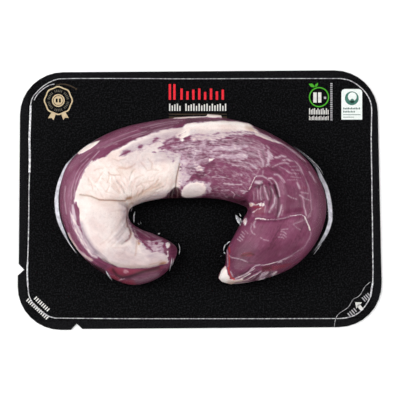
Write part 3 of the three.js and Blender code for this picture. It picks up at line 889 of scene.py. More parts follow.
# Darker muscle, much of it painted shade: the arch's back, the right flank and the edges under the arch
# and by the lobe are painted darker where they turn from the light; the butt, the tail and the dark
# streaks on the arch are darker muscle
DEEP_MUSCLE = patches(
    Tint.DEEP_AND_SHADE,
    (1.5, 0.55, 0, 140, 125, 170, 117, 186, 116, 186, 124.5, 172, 127, 140, 137),
    (1.2, 0.95, 0, 184, 116, 204, 119, 250, 119, 268, 134, 256, 129, 245, 122.8, 220, 121, 200, 122.4,
     185, 124.6),
    (5, 0.6, 0, 236, 240, 262, 246, 296, 240, 300, 250, 276, 262, 250, 268, 234, 280, 226, 262),
    (6, 0.8, 0, 308, 152, 322, 170, 332, 195, 334, 215, 328, 240, 310, 262, 304, 262, 311, 240,
     316, 220, 317, 200),
    (2.5, 0.6, 0, 208, 192, 240, 196, 252, 206, 246, 212, 228, 202, 200, 202),
    (2.5, 0.6, 0, 262, 264, 300, 255, 318, 238, 318, 254, 300, 270, 284, 278, 276, 268),
    (1.2, 0.58, 0, 90, 260, 97, 264, 104, 271, 110, 283, 130, 288, 156, 284, 168, 268, 150, 271,
     130, 272, 113, 269, 104, 266),
    (0.8, 0.5, 0, 134, 226, 149, 231, 163, 238.5, 158, 241, 152, 241.3, 147, 239, 142, 235.4,
     137, 230.8),
    (1.2, 0.55, 0, 252, 281, 256, 276, 262, 270.5, 272, 269, 281, 272, 277, 279, 268, 284),
    (1, 0.35, 0, 160, 236, 170, 238, 178, 246, 178, 254, 172, 258, 169, 254, 170, 248, 166, 240),
)
DEEP_PATCHES = patches(
    Tint.DEEP_AND_SHADE,
    (0.7, 0.6, 0, 184, 143, 195, 143, 196, 147.5, 184, 148),
    (0.7, 0.6, 0, 187, 153, 193.5, 153, 194, 157.5, 188, 157),
    (0.8, 0.65, 0, 194, 172.5, 204, 171, 206, 175, 200, 178, 195, 177),
    (0.6, 0.6, 0, 217, 139, 226, 140.5, 225, 143, 218, 142),
    (0.6, 0.6, 0, 232, 141, 238, 139.8, 240, 143, 234, 144.8),
    (0.6, 0.5, 0, 222, 134.5, 228, 133, 229, 136, 223, 136.5),
    (0.9, 0.45, 0, 245, 150, 256, 150, 257, 158, 250, 157),
    (0.7, 0.5, 0, 204, 139, 215, 139, 216, 144, 206, 143),
    (0.8, 0.45, 0, 205, 161, 215, 161.5, 214, 167, 206, 166),
    (0.5, 0.6, 0, 174, 147.6, 185, 147.4, 185, 149.8, 175, 150),
    (0.6, 0.6, 0, 187, 165, 194, 165, 195, 170.5, 188, 170),
    (0.5, 0.55, 0, 230, 150.4, 238, 150.6, 238, 152.6, 231, 152.8),
    (0.6, 0.4, 0, 239, 142, 248, 140.4, 249, 143, 240, 144.4),
    (1, 0.35, 0, 284, 182, 300, 188, 301, 212, 284, 214),
    ragged=0.8,
)
DEEP_STREAKS = lines(
    Tint.DEEP_AND_SHADE,
    (0.6, 0.5, 0, 188, 176.5, 193, 177.6, 198, 179.8, 206, 180),
    (1.1, 0.5, 0, 85.5, 171.5, 90, 165, 96, 161.6, 103, 160.6, 108, 156.6, 114, 153),
    (1.2, 0.3, 0, 63, 184, 62.6, 200, 64.6, 215, 68.4, 228),
    (0.6, 0.5, 0, 74.4, 184, 72.6, 194, 72.4, 203),
    (0.8, 0.5, 0, 79.4, 238.5, 84, 246, 90, 253.6),
    (0.5, 0.4, 0, 102, 140.4, 118, 134.4, 134, 130),
    (0.5, 0.5, 0, 112, 142, 128, 135.4, 144, 130.6),
    (0.5, 0.4, 0, 84, 160, 94, 150, 106, 144.4, 122, 138),
    ragged=0.4,
)
# Blood: the lobe, the butt's edge and notch, the inner bend
BLOOD_PATCHES = patches(
    Tint.BLOOD,
    (0.8, 0.6, 0, 108, 275.6, 114, 274.5, 119, 277.6, 119, 284, 114, 284, 109, 280),
    (0.9, 0.5, 0, 120, 279.6, 133, 279.4, 136, 284, 122, 286),
    (1.2, 0.5, 0, 106, 269.4, 114, 267.6, 130, 270, 150, 270, 165, 267.6, 161, 271, 120, 275.4,
     111, 273.4),
    (0.9, 0.75, 0, 240, 255.6, 243, 252.4, 250, 251.8, 253.6, 254, 250, 255.8),
    (1, 0.5, 0, 261, 266, 272, 265.4, 291, 263, 284, 267, 271, 270, 262, 270.6),
    (1.5, 0.3, 0, 252, 209, 258, 207, 264, 208, 264, 214, 254, 214),
    (4, 0.13, 0, 108, 252, 124, 250, 150, 258, 166, 257, 165, 267, 150, 269, 122, 267),
)
BLOOD_LINES = lines(
    Tint.BLOOD,
    (0.7, 0.55, 0, 112, 269.5, 118, 276.6, 132, 273.9, 152, 270.8),
    (0.5, 0.8, -0.2, 227.9, 267, 228.6, 272, 230.4, 277.2, 233.4, 278.2),
    (0.7, 0.7, -0.2, 228.6, 247, 229, 252.4),
    (0.5, 0.6, 0, 228.4, 254, 228.6, 262, 228, 267),
    (0.7, 0.6, 0, 253.5, 206.6, 257, 206.4, 262, 207.4),
    (0.5, 0.7, 0, 254.6, 203.4, 256.6, 205),
    (0.6, 0.5, 0, 129, 229, 130.4, 233, 129, 238, 125, 241),
    (0.5, 0.3, 0, 126.6, 213, 126.4, 219, 127, 226),
    (0.6, 0.25, 0, 300, 186.6, 306, 187.4),
    (0.7, 0.14, 0, 136, 241, 134.8, 255),
    (0.9, 0.12, 0, 68.3, 233, 74.2, 243.5, 82, 252, 91, 258.7),
    (0.6, 0.22, 0, 228, 279.4, 250, 279.4),
)
# Fresh red along the butt's edge and at the inner bend
FRESH_RED = lines(
    Tint.FLUSH,
    (0.42, 0.6, 0, 227.6, 267, 228.2, 270.5, 229.4, 274.4, 231, 277.6, 234, 278.6),
    (0.36, 0.45, 0, 228.6, 247, 229, 251),
    (0.36, 0.55, 0, 228.4, 254.5, 228.8, 260, 228.4, 266),
    (0.8, 0.1, 0, 249, 206.6, 256, 206.6, 262, 207.4),
    ragged=0.1,
)
# Stains in the fat: orange at the inner bend, at the tail's end and along the rim
STAIN_SPOTS = spots(
    Tint.STAIN,
    (1.6, 0.8, 0, 129, 198.3, 3.6, 2.2, -20),
    (1.8, 0.85, 0, 162, 263.6, 3.8, 2.4, -25),
    (0.8, 0.5, 0, 153, 268, 2.2, 1.2, 0),
    (2, 0.15, 0, 126, 170, 10, 5, 0),
    (0.8, 0.5, 0, 250, 204.6, 2.4, 1.6, 0),
    (1.2, 0.45, 0, 249, 128.6, 5, 1.8, 16),
    ragged=0.3,
)
STAIN_LINES = lines(
    Tint.STAIN,
    # The next two lines carry the stain's brown and painted shade of the fold at the bend crease
    (1.8, 0.42, -0.2, 129, 198.4, 151, 188.4),
    (2.4, 0.3, 0, 130, 200, 150, 190, 158, 184),
    (0.8, 0.3, 0, 112, 200.2, 126, 201),
    (0.6, 0.45, 0, 128, 209, 130, 204.6, 133, 203),
    (0.9, 0.85, -0.3, 135.6, 229, 138.8, 238.6, 138, 243.4),
    (0.9, 0.4, 0, 127, 207, 126.6, 213, 127.4, 224, 130.6, 230, 130.4, 236),
    (0.6, 0.5, 0, 79, 194, 90, 195.3, 100, 199.2, 113, 199.9, 126, 201.6),
    (0.6, 0.4, 0, 178.8, 163, 175.3, 183),
    (0.7, 0.3, 0, 136, 241, 134.8, 255),
    (0.6, 0.35, 0, 149, 264.5, 156, 262.6, 161, 260),
    (0.7, 0.55, 0, 91, 258.6, 105, 266.8),
    (1.4, 0.4, 0, 68.3, 233, 74.2, 243.5, 82, 252, 91, 258.7),
    # Painted shade along the fat's bottom rim, in a tan tint
    (1.6, 0.14, 0, 104, 262, 120, 266.4, 145, 267.4, 160, 265),
    (0.5, 0.8, 0, 115.6, 284, 117, 281, 119.4, 279, 124, 278.2),
    (0.5, 0.7, 0.2, 271, 218.8, 279, 218.4),
    (1.4, 0.5, 0, 229, 282.6, 252, 278.6),
    ragged=0.2,
)
# Cool, greyish fat: its own tone where it is thin over the muscle or drawn, and painted shade on the lower
# leg, under the fat's edge, at the inner bend and along its bottom rim
COOL_PATCHES = patches(
    Tint.COOL_AND_SHADE,
    (1.2, 0.4, 0, 190, 130, 230, 129.4, 252, 131.4, 262, 136, 240, 133.8, 225, 135, 212, 139, 196, 139,
     188, 136),
    (1, 0.7, 0, 257, 130, 268, 134, 279, 141.6, 274, 141, 258, 134),
    (3, 0.5, 0, 150, 152, 160, 149, 170, 148, 178, 152, 177, 160, 154, 163),
    (2.2, 0.6, 0, 120, 152, 132, 144, 150, 136, 170, 130, 182, 129, 178, 134, 136, 150, 122, 157),
    (3.5, 0.3, 0, 122, 156, 152, 143, 166, 139, 168, 147, 158, 156, 150, 168, 130, 168, 118, 162),
    (2, 0.5, 0, 132, 206, 138, 197.6, 163, 189.6, 170, 190, 166, 195, 158, 199.6),
    (3.5, 0.5, 0, 117, 202, 124, 203, 128, 209, 128, 222, 132, 232, 128, 242, 116, 244, 110, 240,
     117, 228, 121, 216),
    (5, 0.2, 0, 84, 212, 112, 206, 126, 225, 122, 243, 100, 252, 86, 238),
    (3, 0.6, 0, 140, 240, 166, 238, 168, 260, 150, 264, 140, 254),
    (2.5, 0.5, 0, 176, 150, 188, 152, 192, 165, 190, 176, 176, 184),
    (1.6, 0.35, 0, 103, 258, 113, 263, 125, 265.6, 145, 266.4, 162, 263, 166, 260, 168, 264, 160, 268,
     140, 270, 116, 268),
    (4, 0.42, 0, 104, 248, 128, 243, 150, 256, 166, 256, 165, 266, 150, 269, 122, 268, 104, 262,
     94, 252),
    (1.5, 0.4, 0, 146, 262, 166, 256, 168, 264, 158, 269, 140, 269),
)
COOL_SPOTS = spots(
    Tint.COOL_AND_SHADE,
    (2.6, 0.55, 0, 133, 243, 3, 7.5, -5),
    (2.6, 0.5, 0, 143.5, 248.5, 5.5, 4, 35),
    (1.5, 0.6, 0, 124, 212, 3.5, 8, 4),
    (2, 0.3, 0, 193, 188.5, 12, 6, 0),
    (1.2, 0.5, 0, 207.5, 187, 2.2, 5, 0),
)
COOL_LINES = lines(
    Tint.COOL_AND_SHADE,
    (2.8, 0.85, 0, 79.6, 224, 84.6, 236, 90.6, 246, 97.6, 254, 104, 259),
    (1.2, 0.4, 0, 73, 212, 75.5, 222, 79, 232),
)

# The inner side of the left bend, and where the fat's skin round it is drawn into fine wrinkles
INNER_BEND = (131, 206)
WRINKLED = (
    (90, 168), (104, 158), (124, 154), (146, 152), (166, 160), (176, 172), (174, 190), (150, 198),
    (128, 198), (104, 198), (86, 192), (84, 180),
)

MARKS = (
    *FAT_CAP, *FAT_SLIPS, *FAT_STRANDS, *KNOB, *FAT_BITS, *TAIL_BIT, *THIN_FAT, *FAT_THREADS, *CAP_GAPS,
    *CAP_SPOTS, *CAP_STREAKS, *WINDOW, *MARGIN_STREAKS, *TAIL_EDGE, *TAIL_MUSCLE, *TAIL_STREAKS,
    *TAIL_HOLE, *VEILS, *VEIL_STREAKS, *VEIL_LINES, *VEIL_SPOTS, *FOLD_SQUIGGLES, *FOLD_STRANDS,
    *LEG_MEMBRANE, *LEG_RIDGES, *BUTT_STRIPES, *TAIL_LINES, *STRIP_LINES, *CREASES, *SHADE_PATCHES,
    *FAT_WRINKLES, *BRIGHT_LINES, *BRIGHT_SPOTS, *DEEP_MUSCLE, *DEEP_PATCHES, *DEEP_STREAKS,
    *BLOOD_PATCHES, *BLOOD_LINES, *FRESH_RED, *STAIN_SPOTS, *STAIN_LINES, *COOL_PATCHES, *COOL_SPOTS,
    *COOL_LINES,
)


# The meat's form


@dataclass(frozen=True)
class Cut:
    """A cut across the meat: its ends on the widest outline and its height, in millimetres."""

    inner: Pixel
    outer: Pixel
    height: float


CUTS = (
    Cut((-15.5, -36), (-15.5, -36), 20),
    Cut((-19.5, -31.5), (-17.5, -44.5), 22),
    Cut((-30.5, -26), (-27, -55), 25),
    Cut((-40, -22.5), (-44.5, -60.5), 28),
    Cut((-46.5, -18), (-63, -54), 31),
    Cut((-48.5, -13), (-81.5, -38.5), 32.5),
    Cut((-47, -8.5), (-94.5, -12), 33),
    Cut((-40.5, -5), (-90.5, 20.5), 33.5),
    Cut((-27, -2), (-64, 42.5), 34),
    Cut((-6.5, -1.5), (-23.5, 53), 35),
    Cut((14, -2.5), (17.5, 53.5), 36),
    Cut((28.5, -6.5), (50.5, 41.5), 37),
    Cut((33, -9.5), (76.5, 20.5), 38.5),
    Cut((29, -18), (86.5, -6), 40),
    Cut((23.5, -28), (81, -29.5), 39.5),
    Cut((18.5, -38), (64, -49), 37),
    Cut((17.5, -47), (34.5, -59), 32),
    Cut((14.5, -51), (20, -59.5), 23),
    Cut((13, -56), (13, -56), 16),
)


@dataclass(frozen=True)
class Groove:
    """A groove in the meat, or a ridge if its depth is below 0, in millimetres seen from above."""

    depth: float
    half_width: float
    path: tuple[Pixel, ...]


GROOVES = {
    "bend crease": Groove(2, 2.8, ((-80.5, -0.5), (-71.5, -2.5), (-63, -4.5), (-47, -5.5))),
    "waist crease": Groove(1.8, 2.8, ((-13, 22.5), (-14, 15.5), (-16, 7.5), (-18, -1))),
    "fold crease": Groove(
        2, 2.8, ((30, -9.5), (34, -1), (39.5, 6), (46, 8.5), (52, 5), (54.5, -3), (52.5, -14))
    ),
    "seam": Groove(1.4, 2.6, ((36.5, -17), (45.5, -18), (57, -17), (68.5, -15))),
    "lobe groove": Groove(
        2.6, 2.8, ((-68.5, -42.5), (-60.5, -49), (-49, -51.5), (-36, -52), (-25.5, -50))
    ),
    "fat cap lip": Groove(
        -1, 3.2, ((-81.5, -7.5), (-78, 15), (-66.5, 23), (-47, 34.5), (-27, 42), (0.5, 48), (33, 46.5))
    ),
    "white knob": Groove(-1.4, 6, ((-7, 3.5), (2.5, 3.5))),
    "butt strand": Groove(-1, 2.8, ((27, -54), (42, -47.5), (57.5, -43), (69.5, -35.5))),
}


@dataclass(frozen=True)
class Texture:
    """The meat's own fine relief. Sizes along and across the fibres, and heights, are millimetres."""

    edge_along: Pixel = (7, 1.5)
    edge_aside: Pixel = (5, 3)
    edge_reach: Pixel = (2.2, 0.8)
    fibres: Pixel = (8, 1.6)
    fibre_height: float = 0.13
    fat_lump: float = 5
    fat_lump_height: float = 0.16
    waves: Pixel = (26, 15)
    wave_height: float = 0.35
    wrinkle_depth: float = 0.3
    wrinkle_shade: float = 0.38
    bend_reach: Pixel = (14, 34)
    still_rows: int = 9


TEXTURE = Texture()
EDGES, BLOTS, FIBRES, LUMPS, WAVES = (GrainField(seed) for seed in (11, 23, 5, 37, 51))
SAMPLES = 4001


@dataclass
class Tenderloin:
    """The meat: a fine grid of stations along the bow and rows across it, in millimetres.

    The rows run from the inside of the bow over the crown to the outside, and then back under
    the foot. The crown's last row is the one on the widest outline.
    """

    sight: Sight
    base: float = 1.3
    widest_level: float = 0.42
    roundness: float = 2.25
    foot_share: float = 0.8
    side_row: tuple[float, float] = (0.93, 0.62)
    tail_radius: float = 9.0
    butt_radius: float = 6.0
    end_steps: int = 14
    stations: int = 516
    crown_rows: int = 150
    side_rows: int = 7
    # strength of the painted shade on the low rows of the meat's sides and under it
    under_shade: float = 0.75
    usual_half_width: float = 27.0
    usual_rise: float = 20.0
    crown: np.ndarray = field(init=False)
    under: np.ndarray = field(init=False)
    tips: np.ndarray = field(init=False)
    normals: np.ndarray = field(init=False)
    grain: np.ndarray = field(init=False)
    relief: np.ndarray = field(init=False)
    layers: dict[Tint, np.ndarray] = field(init=False, default_factory=dict)

    def sides(self, places: np.ndarray) -> tuple[np.ndarray, np.ndarray]:
        """Reads the widest outline.

        Args:
            places: shares of the way from the tail to the butt.

        Returns:
            The outline's outer and inner side.
        """
        outers = [cut.outer for cut in CUTS]
        inners = [cut.inner for cut in CUTS[-2:0:-1]]
        loop = np.array([*outers, *inners], float)
        last = len(CUTS) - 1
        outer = catmull_rom(loop, places * last, closed=True)
        inner = catmull_rom(loop, len(loop) - places * last, closed=True)
        return outer, inner

    def form(self) -> None:
        """Sets the crown, the side rows under it, the tips, and the fibre coordinates."""
        places, distance, length = self.stations_along()
        outer, inner = self.sides(places)
        heights = np.array([[cut.height] for cut in CUTS], float)
        tops = catmull_rom(heights, places * (len(CUTS) - 1), closed=False)[:, 0]
        fullness = self.fullness(distance, self.tail_radius)
        fullness *= self.fullness(length - distance, self.butt_radius)
        widest = self.base + self.widest_level * (tops - self.base)
        rise, drop = (tops - widest) * fullness, (widest - self.base) * fullness

        across, up = self.section()
        middle, half = (outer + inner) / 2, (inner - outer) / 2
        self.crown = self.spread(middle, half, across, widest[:, None] + rise[:, None] * up)
        down = np.linspace(0, 2, self.side_rows + 1)[1:]
        corners = np.array([[1, 0], [self.side_row[0], self.side_row[1]], [self.foot_share, 1]], float)
        side = catmull_rom(corners, down, closed=False)
        out_across = np.concatenate([-side[:, 0], side[::-1, 0]])
        out_down = np.concatenate([side[:, 1], side[::-1, 1]])
        self.under = self.spread(middle, half, out_across, widest[:, None] - drop[:, None] * out_down)
        ends = np.array([self.sides(np.array([place]))[0][0] for place in (0.0, 1.0)])
        levels = self.base + self.widest_level * (heights[[0, -1], 0] - self.base)
        self.tips = np.column_stack([ends, levels])

        normals = np.cross(np.gradient(self.crown, axis=0), np.gradient(self.crown, axis=1))
        self.normals = normals / np.maximum(np.linalg.norm(normals, axis=-1, keepdims=True), 1e-9)
        widths = np.linalg.norm(np.diff(self.crown, axis=1), axis=-1)
        girth = np.concatenate([np.zeros((len(widths), 1)), np.cumsum(widths, axis=1)], axis=1)
        girth -= girth[:, [self.crown_rows // 2]]
        self.grain = np.stack([np.broadcast_to(distance[:, None], girth.shape), girth], axis=-1)

    def stations_along(self) -> tuple[np.ndarray, np.ndarray, float]:
        """Spaces the stations along the bow, closer where the ends are round.

        Returns:
            Their shares of the way, their distances from the tail's tip, and the bow's length.
        """
        fine = np.linspace(0, 1, SAMPLES)
        outer, inner = self.sides(fine)
        steps = np.linalg.norm(np.diff((outer + inner) / 2, axis=0), axis=1)
        run = np.concatenate([[0], np.cumsum(steps)])
        length = run[-1]
        ease = 1 - np.cos(np.linspace(0, np.pi / 2, self.end_steps + 1)[1:])
        body = np.linspace(self.tail_radius, length - self.butt_radius, self.stations + 1)[1:-1]
        butt = length - ease[::-1] * self.butt_radius
        distance = np.concatenate([ease * self.tail_radius, body, butt])
        return np.interp(distance, run, fine), distance, length

    @staticmethod
    def fullness(distance: np.ndarray, radius: float) -> np.ndarray:
        """How full the meat is at a distance from a round end, from 0 at the tip to 1."""
        short = np.clip(1 - distance / radius, 0, 1)
        return np.sqrt(1 - short * short)

    def section(self) -> tuple[np.ndarray, np.ndarray]:
        """Shapes the crown's cross-section, with its rows evenly apart.

        Returns:
            Each row's place as a share of the half width, from the inner side, and of the rise.
        """
        angles = np.linspace(0, np.pi, SAMPLES)
        power = 2 / self.roundness
        across = np.sign(np.cos(angles)) * np.abs(np.cos(angles)) ** power
        up = np.abs(np.sin(angles)) ** power
        steps = np.hypot(np.diff(across) * self.usual_half_width, np.diff(up) * self.usual_rise)
        run = np.concatenate([[0], np.cumsum(steps)])
        even = np.linspace(0, run[-1], self.crown_rows + 1)
        return np.interp(even, run, across), np.interp(even, run, up)

    @staticmethod
    def spread(middle: np.ndarray, half: np.ndarray, across: np.ndarray, levels: np.ndarray) -> np.ndarray:
        """Lays rows across the stations at shares of their half width and at given levels."""
        flat = middle[:, None, :] + half[:, None, :] * across[None, :, None]
        return np.concatenate([flat, levels[..., None]], axis=-1)

    def carve(self) -> None:
        """Works out the relief and the painted layers of the crown."""
        seen = self.sight.pixels(self.crown)
        relief = np.zeros(seen.shape[:2])
        for groove in GROOVES.values():
            shape = Mark(Tint.NONE, groove.path, groove.half_width)
            relief -= groove.depth * shape.cover(self.crown[..., :2], 1.0)
        relief += self.lay_marks(seen)
        relief += self.roughen(seen)
        rows = np.arange(self.crown_rows + 1)
        edge = np.minimum(rows, self.crown_rows - rows).astype(float)
        self.relief = relief * smooth_step(edge, 0, TEXTURE.still_rows)

    def lay_marks(self, seen: np.ndarray) -> np.ndarray:
        """Lays the marks on the crown, fading them where it turns away from the photograph's eye.

        Args:
            seen: the crown's places, in pixels.

        Returns:
            The marks' relief.
        """
        along = np.gradient(seen, axis=0)
        along /= np.maximum(np.linalg.norm(along, axis=-1, keepdims=True), 1e-9)
        aside = np.stack([-along[..., 1], along[..., 0]], axis=-1)
        streaks = EDGES.layered(*self.stretched(TEXTURE.edge_along))
        blots = BLOTS.layered(*self.stretched(TEXTURE.edge_aside))
        wander = along * streaks[..., None] * TEXTURE.edge_reach[0]
        wander += aside * blots[..., None] * TEXTURE.edge_reach[1]

        gaze = self.sight.eye() - self.crown
        facing = np.einsum("...k,...k->...", self.normals, gaze) / np.linalg.norm(gaze, axis=-1)
        shown, shown_fat = smooth_step(facing, -0.02, 0.1), smooth_step(facing, -0.05, 0.06)

        relief = np.zeros(seen.shape[:2])
        layers = {tint: np.zeros(seen.shape[:2]) for tint in Tint}
        for mark in MARKS:
            moved = seen + wander * (mark.ragged / self.sight.pixel) if mark.ragged else seen
            share = mark.cover(moved, self.sight.pixel)
            share *= shown_fat if mark.tint is Tint.FAT and mark.filled else shown
            layers[mark.tint] = np.maximum(layers[mark.tint], share * mark.strength)
            relief += mark.relief * share
        layers[Tint.FAT] *= 1 - layers[Tint.BARE]
        layers[Tint.CREVICE_SHADE] *= layers[Tint.FAT]
        # Painted shade: the darker-muscle layer grows on the rows low on the meat's sides, darkest at the
        # widest outline
        rim = self.under_shade * (1 - smooth_step(self.section()[1], 0.1, 0.75))
        layers[Tint.DEEP_AND_SHADE] = np.maximum(layers[Tint.DEEP_AND_SHADE], np.broadcast_to(rim, relief.shape))
        self.layers = layers
        return relief

    def roughen(self, seen: np.ndarray) -> np.ndarray:
        """Adds the fibres, the fat's lumps and wrinkles, and the meat's broad waves.

        Args:
            seen: the crown's places, in pixels.

        Returns:
            Their relief.
        """
        fat = self.layers[Tint.FAT]
        x, y = self.crown[..., 0], self.crown[..., 1]
        lump = TEXTURE.fat_lump
        relief = (1 - fat) * TEXTURE.fibre_height * FIBRES.layered(*self.stretched(TEXTURE.fibres))
        relief += fat * TEXTURE.fat_lump_height * LUMPS.layered(x / lump, y / lump, 4)
        relief += TEXTURE.wave_height * WAVES.layered(*self.stretched(TEXTURE.waves), 2)

        bend = LUMPS.layered(x / 9 + 5, y / 9, 2)
        reach = (seen - np.array(INNER_BEND)) * self.sight.pixel
        radius, angle = np.linalg.norm(reach, axis=-1), np.arctan2(reach[..., 1], reach[..., 0])
        wrinkles = np.exp(-((BLOTS.layered(angle * 6 + bend, radius / 13, 2) / 0.1) ** 2))
        wrinkles += 0.8 * np.exp(-((FIBRES.layered(angle * 11 - bend, radius / 8, 2) / 0.12) ** 2))
        creased = Mark(Tint.NONE, WRINKLED, 5.0, filled=True).cover(seen, self.sight.pixel)
        wrinkles *= fat * (0.35 * (1 - smooth_step(radius, *TEXTURE.bend_reach)) + 0.65 * creased)
        # Painted shade in the fat's wrinkles, which are also sunk
        shade = TEXTURE.wrinkle_shade * wrinkles
        self.layers[Tint.CREVICE_SHADE] = np.maximum(self.layers[Tint.CREVICE_SHADE], shade)
        return relief - TEXTURE.wrinkle_depth * wrinkles

    def stretched(self, size: Pixel) -> tuple[np.ndarray, np.ndarray]:
        """The fibre coordinates, counted in features of a size along and across."""
        return self.grain[..., 0] / size[0], self.grain[..., 1] / size[1]

    def points(self) -> np.ndarray:
        """Lists all vertices.

        Returns:
            Each station's crown and under rows, then the two tips.
        """
        crown = self.crown + self.normals * self.relief[..., None]
        rings = np.concatenate([crown, self.under], axis=1)
        return np.concatenate([rings.reshape(-1, 3), self.tips])

    def faces(self) -> list[tuple[int, ...]]:
        """Joins the rings and fans the two ends round their tips.

        Returns:
            Each face's vertices, in order, so that it faces out.
        """
        count, around = self.crown.shape[0], self.crown.shape[1] + self.under.shape[1]
        tail, butt = count * around, count * around + 1
        faces: list[tuple[int, ...]] = []
        for row in range(around):
            after = (row + 1) % around
            faces.append((tail, row, after))
            faces.append(((count - 1) * around + row, butt, (count - 1) * around + after))
            for station in range(count - 1):
                low, high = station * around, (station + 1) * around
                faces.append((low + row, high + row, high + after, low + after))
        return faces

    def per_vertex(self, values: np.ndarray, rest: float) -> np.ndarray:
        """Carries crown values on to the under rows, where they fade, and to the tips.

        Args:
            values: one number for each place on the crown.
            rest: the number that they fade to on the way down to the foot.

        Returns:
            One number for each vertex.
        """
        fade = 1 - smooth_step(np.linspace(0, 2, self.side_rows + 1)[1:], 0, 0.9)
        outer = rest + (values[:, -1:] - rest) * fade
        inner = rest + (values[:, :1] - rest) * fade[::-1]
        rings = np.concatenate([values, outer, inner], axis=1)
        return np.concatenate([rings.ravel(), [values[0].mean(), values[-1].mean()]])

    def fibre_places(self) -> np.ndarray:
        """Measures the fibre coordinates all round the meat.

        Returns:
            For each vertex the way along the bow and round it, from the crown's middle.
        """
        outer = np.concatenate([self.crown[:, -1:], self.under[:, : self.side_rows]], axis=1)
        inner = np.concatenate([self.crown[:, :1], self.under[:, self.side_rows :][:, ::-1]], axis=1)
        falls = [np.cumsum(np.linalg.norm(np.diff(side, axis=1), axis=-1), axis=1) for side in (outer, inner)]
        girth = self.grain[..., 1]
        ways = [girth, girth[:, -1:] + falls[0], (girth[:, :1] - falls[1])[:, ::-1]]
        way_round = np.concatenate(ways, axis=1)
        run = np.broadcast_to(self.grain[:, :1, 0], way_round.shape)
        places = np.column_stack([run.ravel(), way_round.ravel(), np.zeros(way_round.size)])
        tips = np.array([(self.grain[0, 0, 0] - 1, 0, 0), (self.grain[-1, 0, 0] + 1, 0, 0)])
        return np.concatenate([places, tips])

    def build(self) -> bpy.types.Object:
        """Makes the meat's mesh with its attributes.

        Returns:
            The piece.
        """
        self.form()
        self.carve()
        piece = build_object("raw_tenderloin", self.points(), self.faces(), raw_meat())
        for tint in PAINTED:
            # Under the widest outline the darker-muscle layer rests at the full painted shade
            rest = self.under_shade if tint is Tint.DEEP_AND_SHADE else 0.0
            write_attribute(piece, tint.value, self.per_vertex(self.layers[tint], rest))
        write_attribute(piece, "grain", self.fibre_places())
        take_in(piece, "meat", "tenderloin")
        return piece


# Finishes


@dataclass(frozen=True)
class MeatFinish:
    """Colours of raw pork as sRGB hex, and its surface: moist, and a little soft to the light."""

    muscle_deep: str = "#5A253D"
    muscle: str = "#783B58"
    muscle_light: str = "#915673"
    # The next colour serves both the darker muscle and its painted shade
    muscle_dark_and_shade: str = "#421629"
    silver: str = "#CDB6C1"
    pale: str = "#D9C1CD"
    fat: str = "#F2E4DE"
    fat_pink: str = "#EAD6D0"
    fat_fold: str = "#D2BFB8"
    # painted shade in the fat's wrinkles
    fat_crevice_shade: str = "#C9A392"
    # greyish thin fat, and painted shade on the fat
    fat_cool_and_shade: str = "#A8939F"
    fat_thin: str = "#BBA0B0"
    # whiter fat, and painted highlights on the fat
    fat_white_and_highlight: str = "#FFFAF6"
    stain: str = "#A86C36"
    blood: str = "#86202F"
    flush: str = "#C8402F"
    # Painted shade in creases and corners: near-black on the muscle, brown in the fat
    crease: str = "#22080F"
    crease_shade_in_fat: str = "#5B3D36"
    roughness: float = 0.42
    specular: float = 0.22
    soft_share: float = 0.12
    soft_reach: tuple[float, float, float] = (1.0, 0.35, 0.3)
    soft_depth: float = 0.002


MEAT = MeatFinish()


def noise(
    tree: bpy.types.NodeTree,
    vector: bpy.types.NodeSocket,
    size: float | tuple[float, float, float],
    detail: float = 3.0,
    shift: float = 0.0,
) -> bpy.types.NodeSocket:
    """Adds noise with features of a real size.

    Args:
        tree: the material's tree.
        vector: the coordinates.
        size: the features' size, for all axes or for each, in the coordinates' unit.
        detail: how many finer layers it has.
        shift: moves the pattern, so that two of a size differ.

    Returns:
        The noise, from 0 to 1.
    """
    sizes = size if isinstance(size, tuple) else (size, size, size)
    mapping = put(tree, "ShaderNodeMapping", {"Vector": vector})
    mapping.inputs["Scale"].default_value = tuple(1 / value for value in sizes)
    mapping.inputs["Location"].default_value = (shift, shift * 0.7, 0)
    inputs = {"Vector": mapping.outputs[0], "Scale": 1.0, "Detail": detail}
    return put(tree, "ShaderNodeTexNoise", inputs).outputs[0]


def maths(
    tree: bpy.types.NodeTree, kind: str, first: Value, second: Value = 0.0, third: Value = 0.0
) -> bpy.types.NodeSocket:
    """Adds a Math node."""
    return put(tree, "ShaderNodeMath", {0: first, 1: second, 2: third}, operation=kind).outputs[0]


def mix(tree: bpy.types.NodeTree, share: Value, first: Tone, second: Tone) -> bpy.types.NodeSocket:
    """Mixes two colours.

    Args:
        tree: the material's tree.
        share: how much of the second colour.
        first: a colour, as a socket or as sRGB hex.
        second: the other colour.

    Returns:
        The mixed colour.
    """
    node = put(tree, "ShaderNodeMix", {"Factor": share}, data_type="RGBA")
    colour_inputs = [socket for socket in node.inputs if socket.type == "RGBA"]
    for socket, value in zip(colour_inputs, (first, second)):
        if isinstance(value, bpy.types.NodeSocket):
            tree.links.new(value, socket)
        else:
            socket.default_value = linear(value)
    return next(socket for socket in node.outputs if socket.type == "RGBA")


def ease(tree: bpy.types.NodeTree, value: Value, low: float, high: float) -> bpy.types.NodeSocket:
    """Adds a smooth Map Range from low and high to 0 and 1."""
    inputs = {0: value, 1: low, 2: high}
    return put(tree, "ShaderNodeMapRange", inputs, interpolation_type="SMOOTHSTEP").outputs[0]


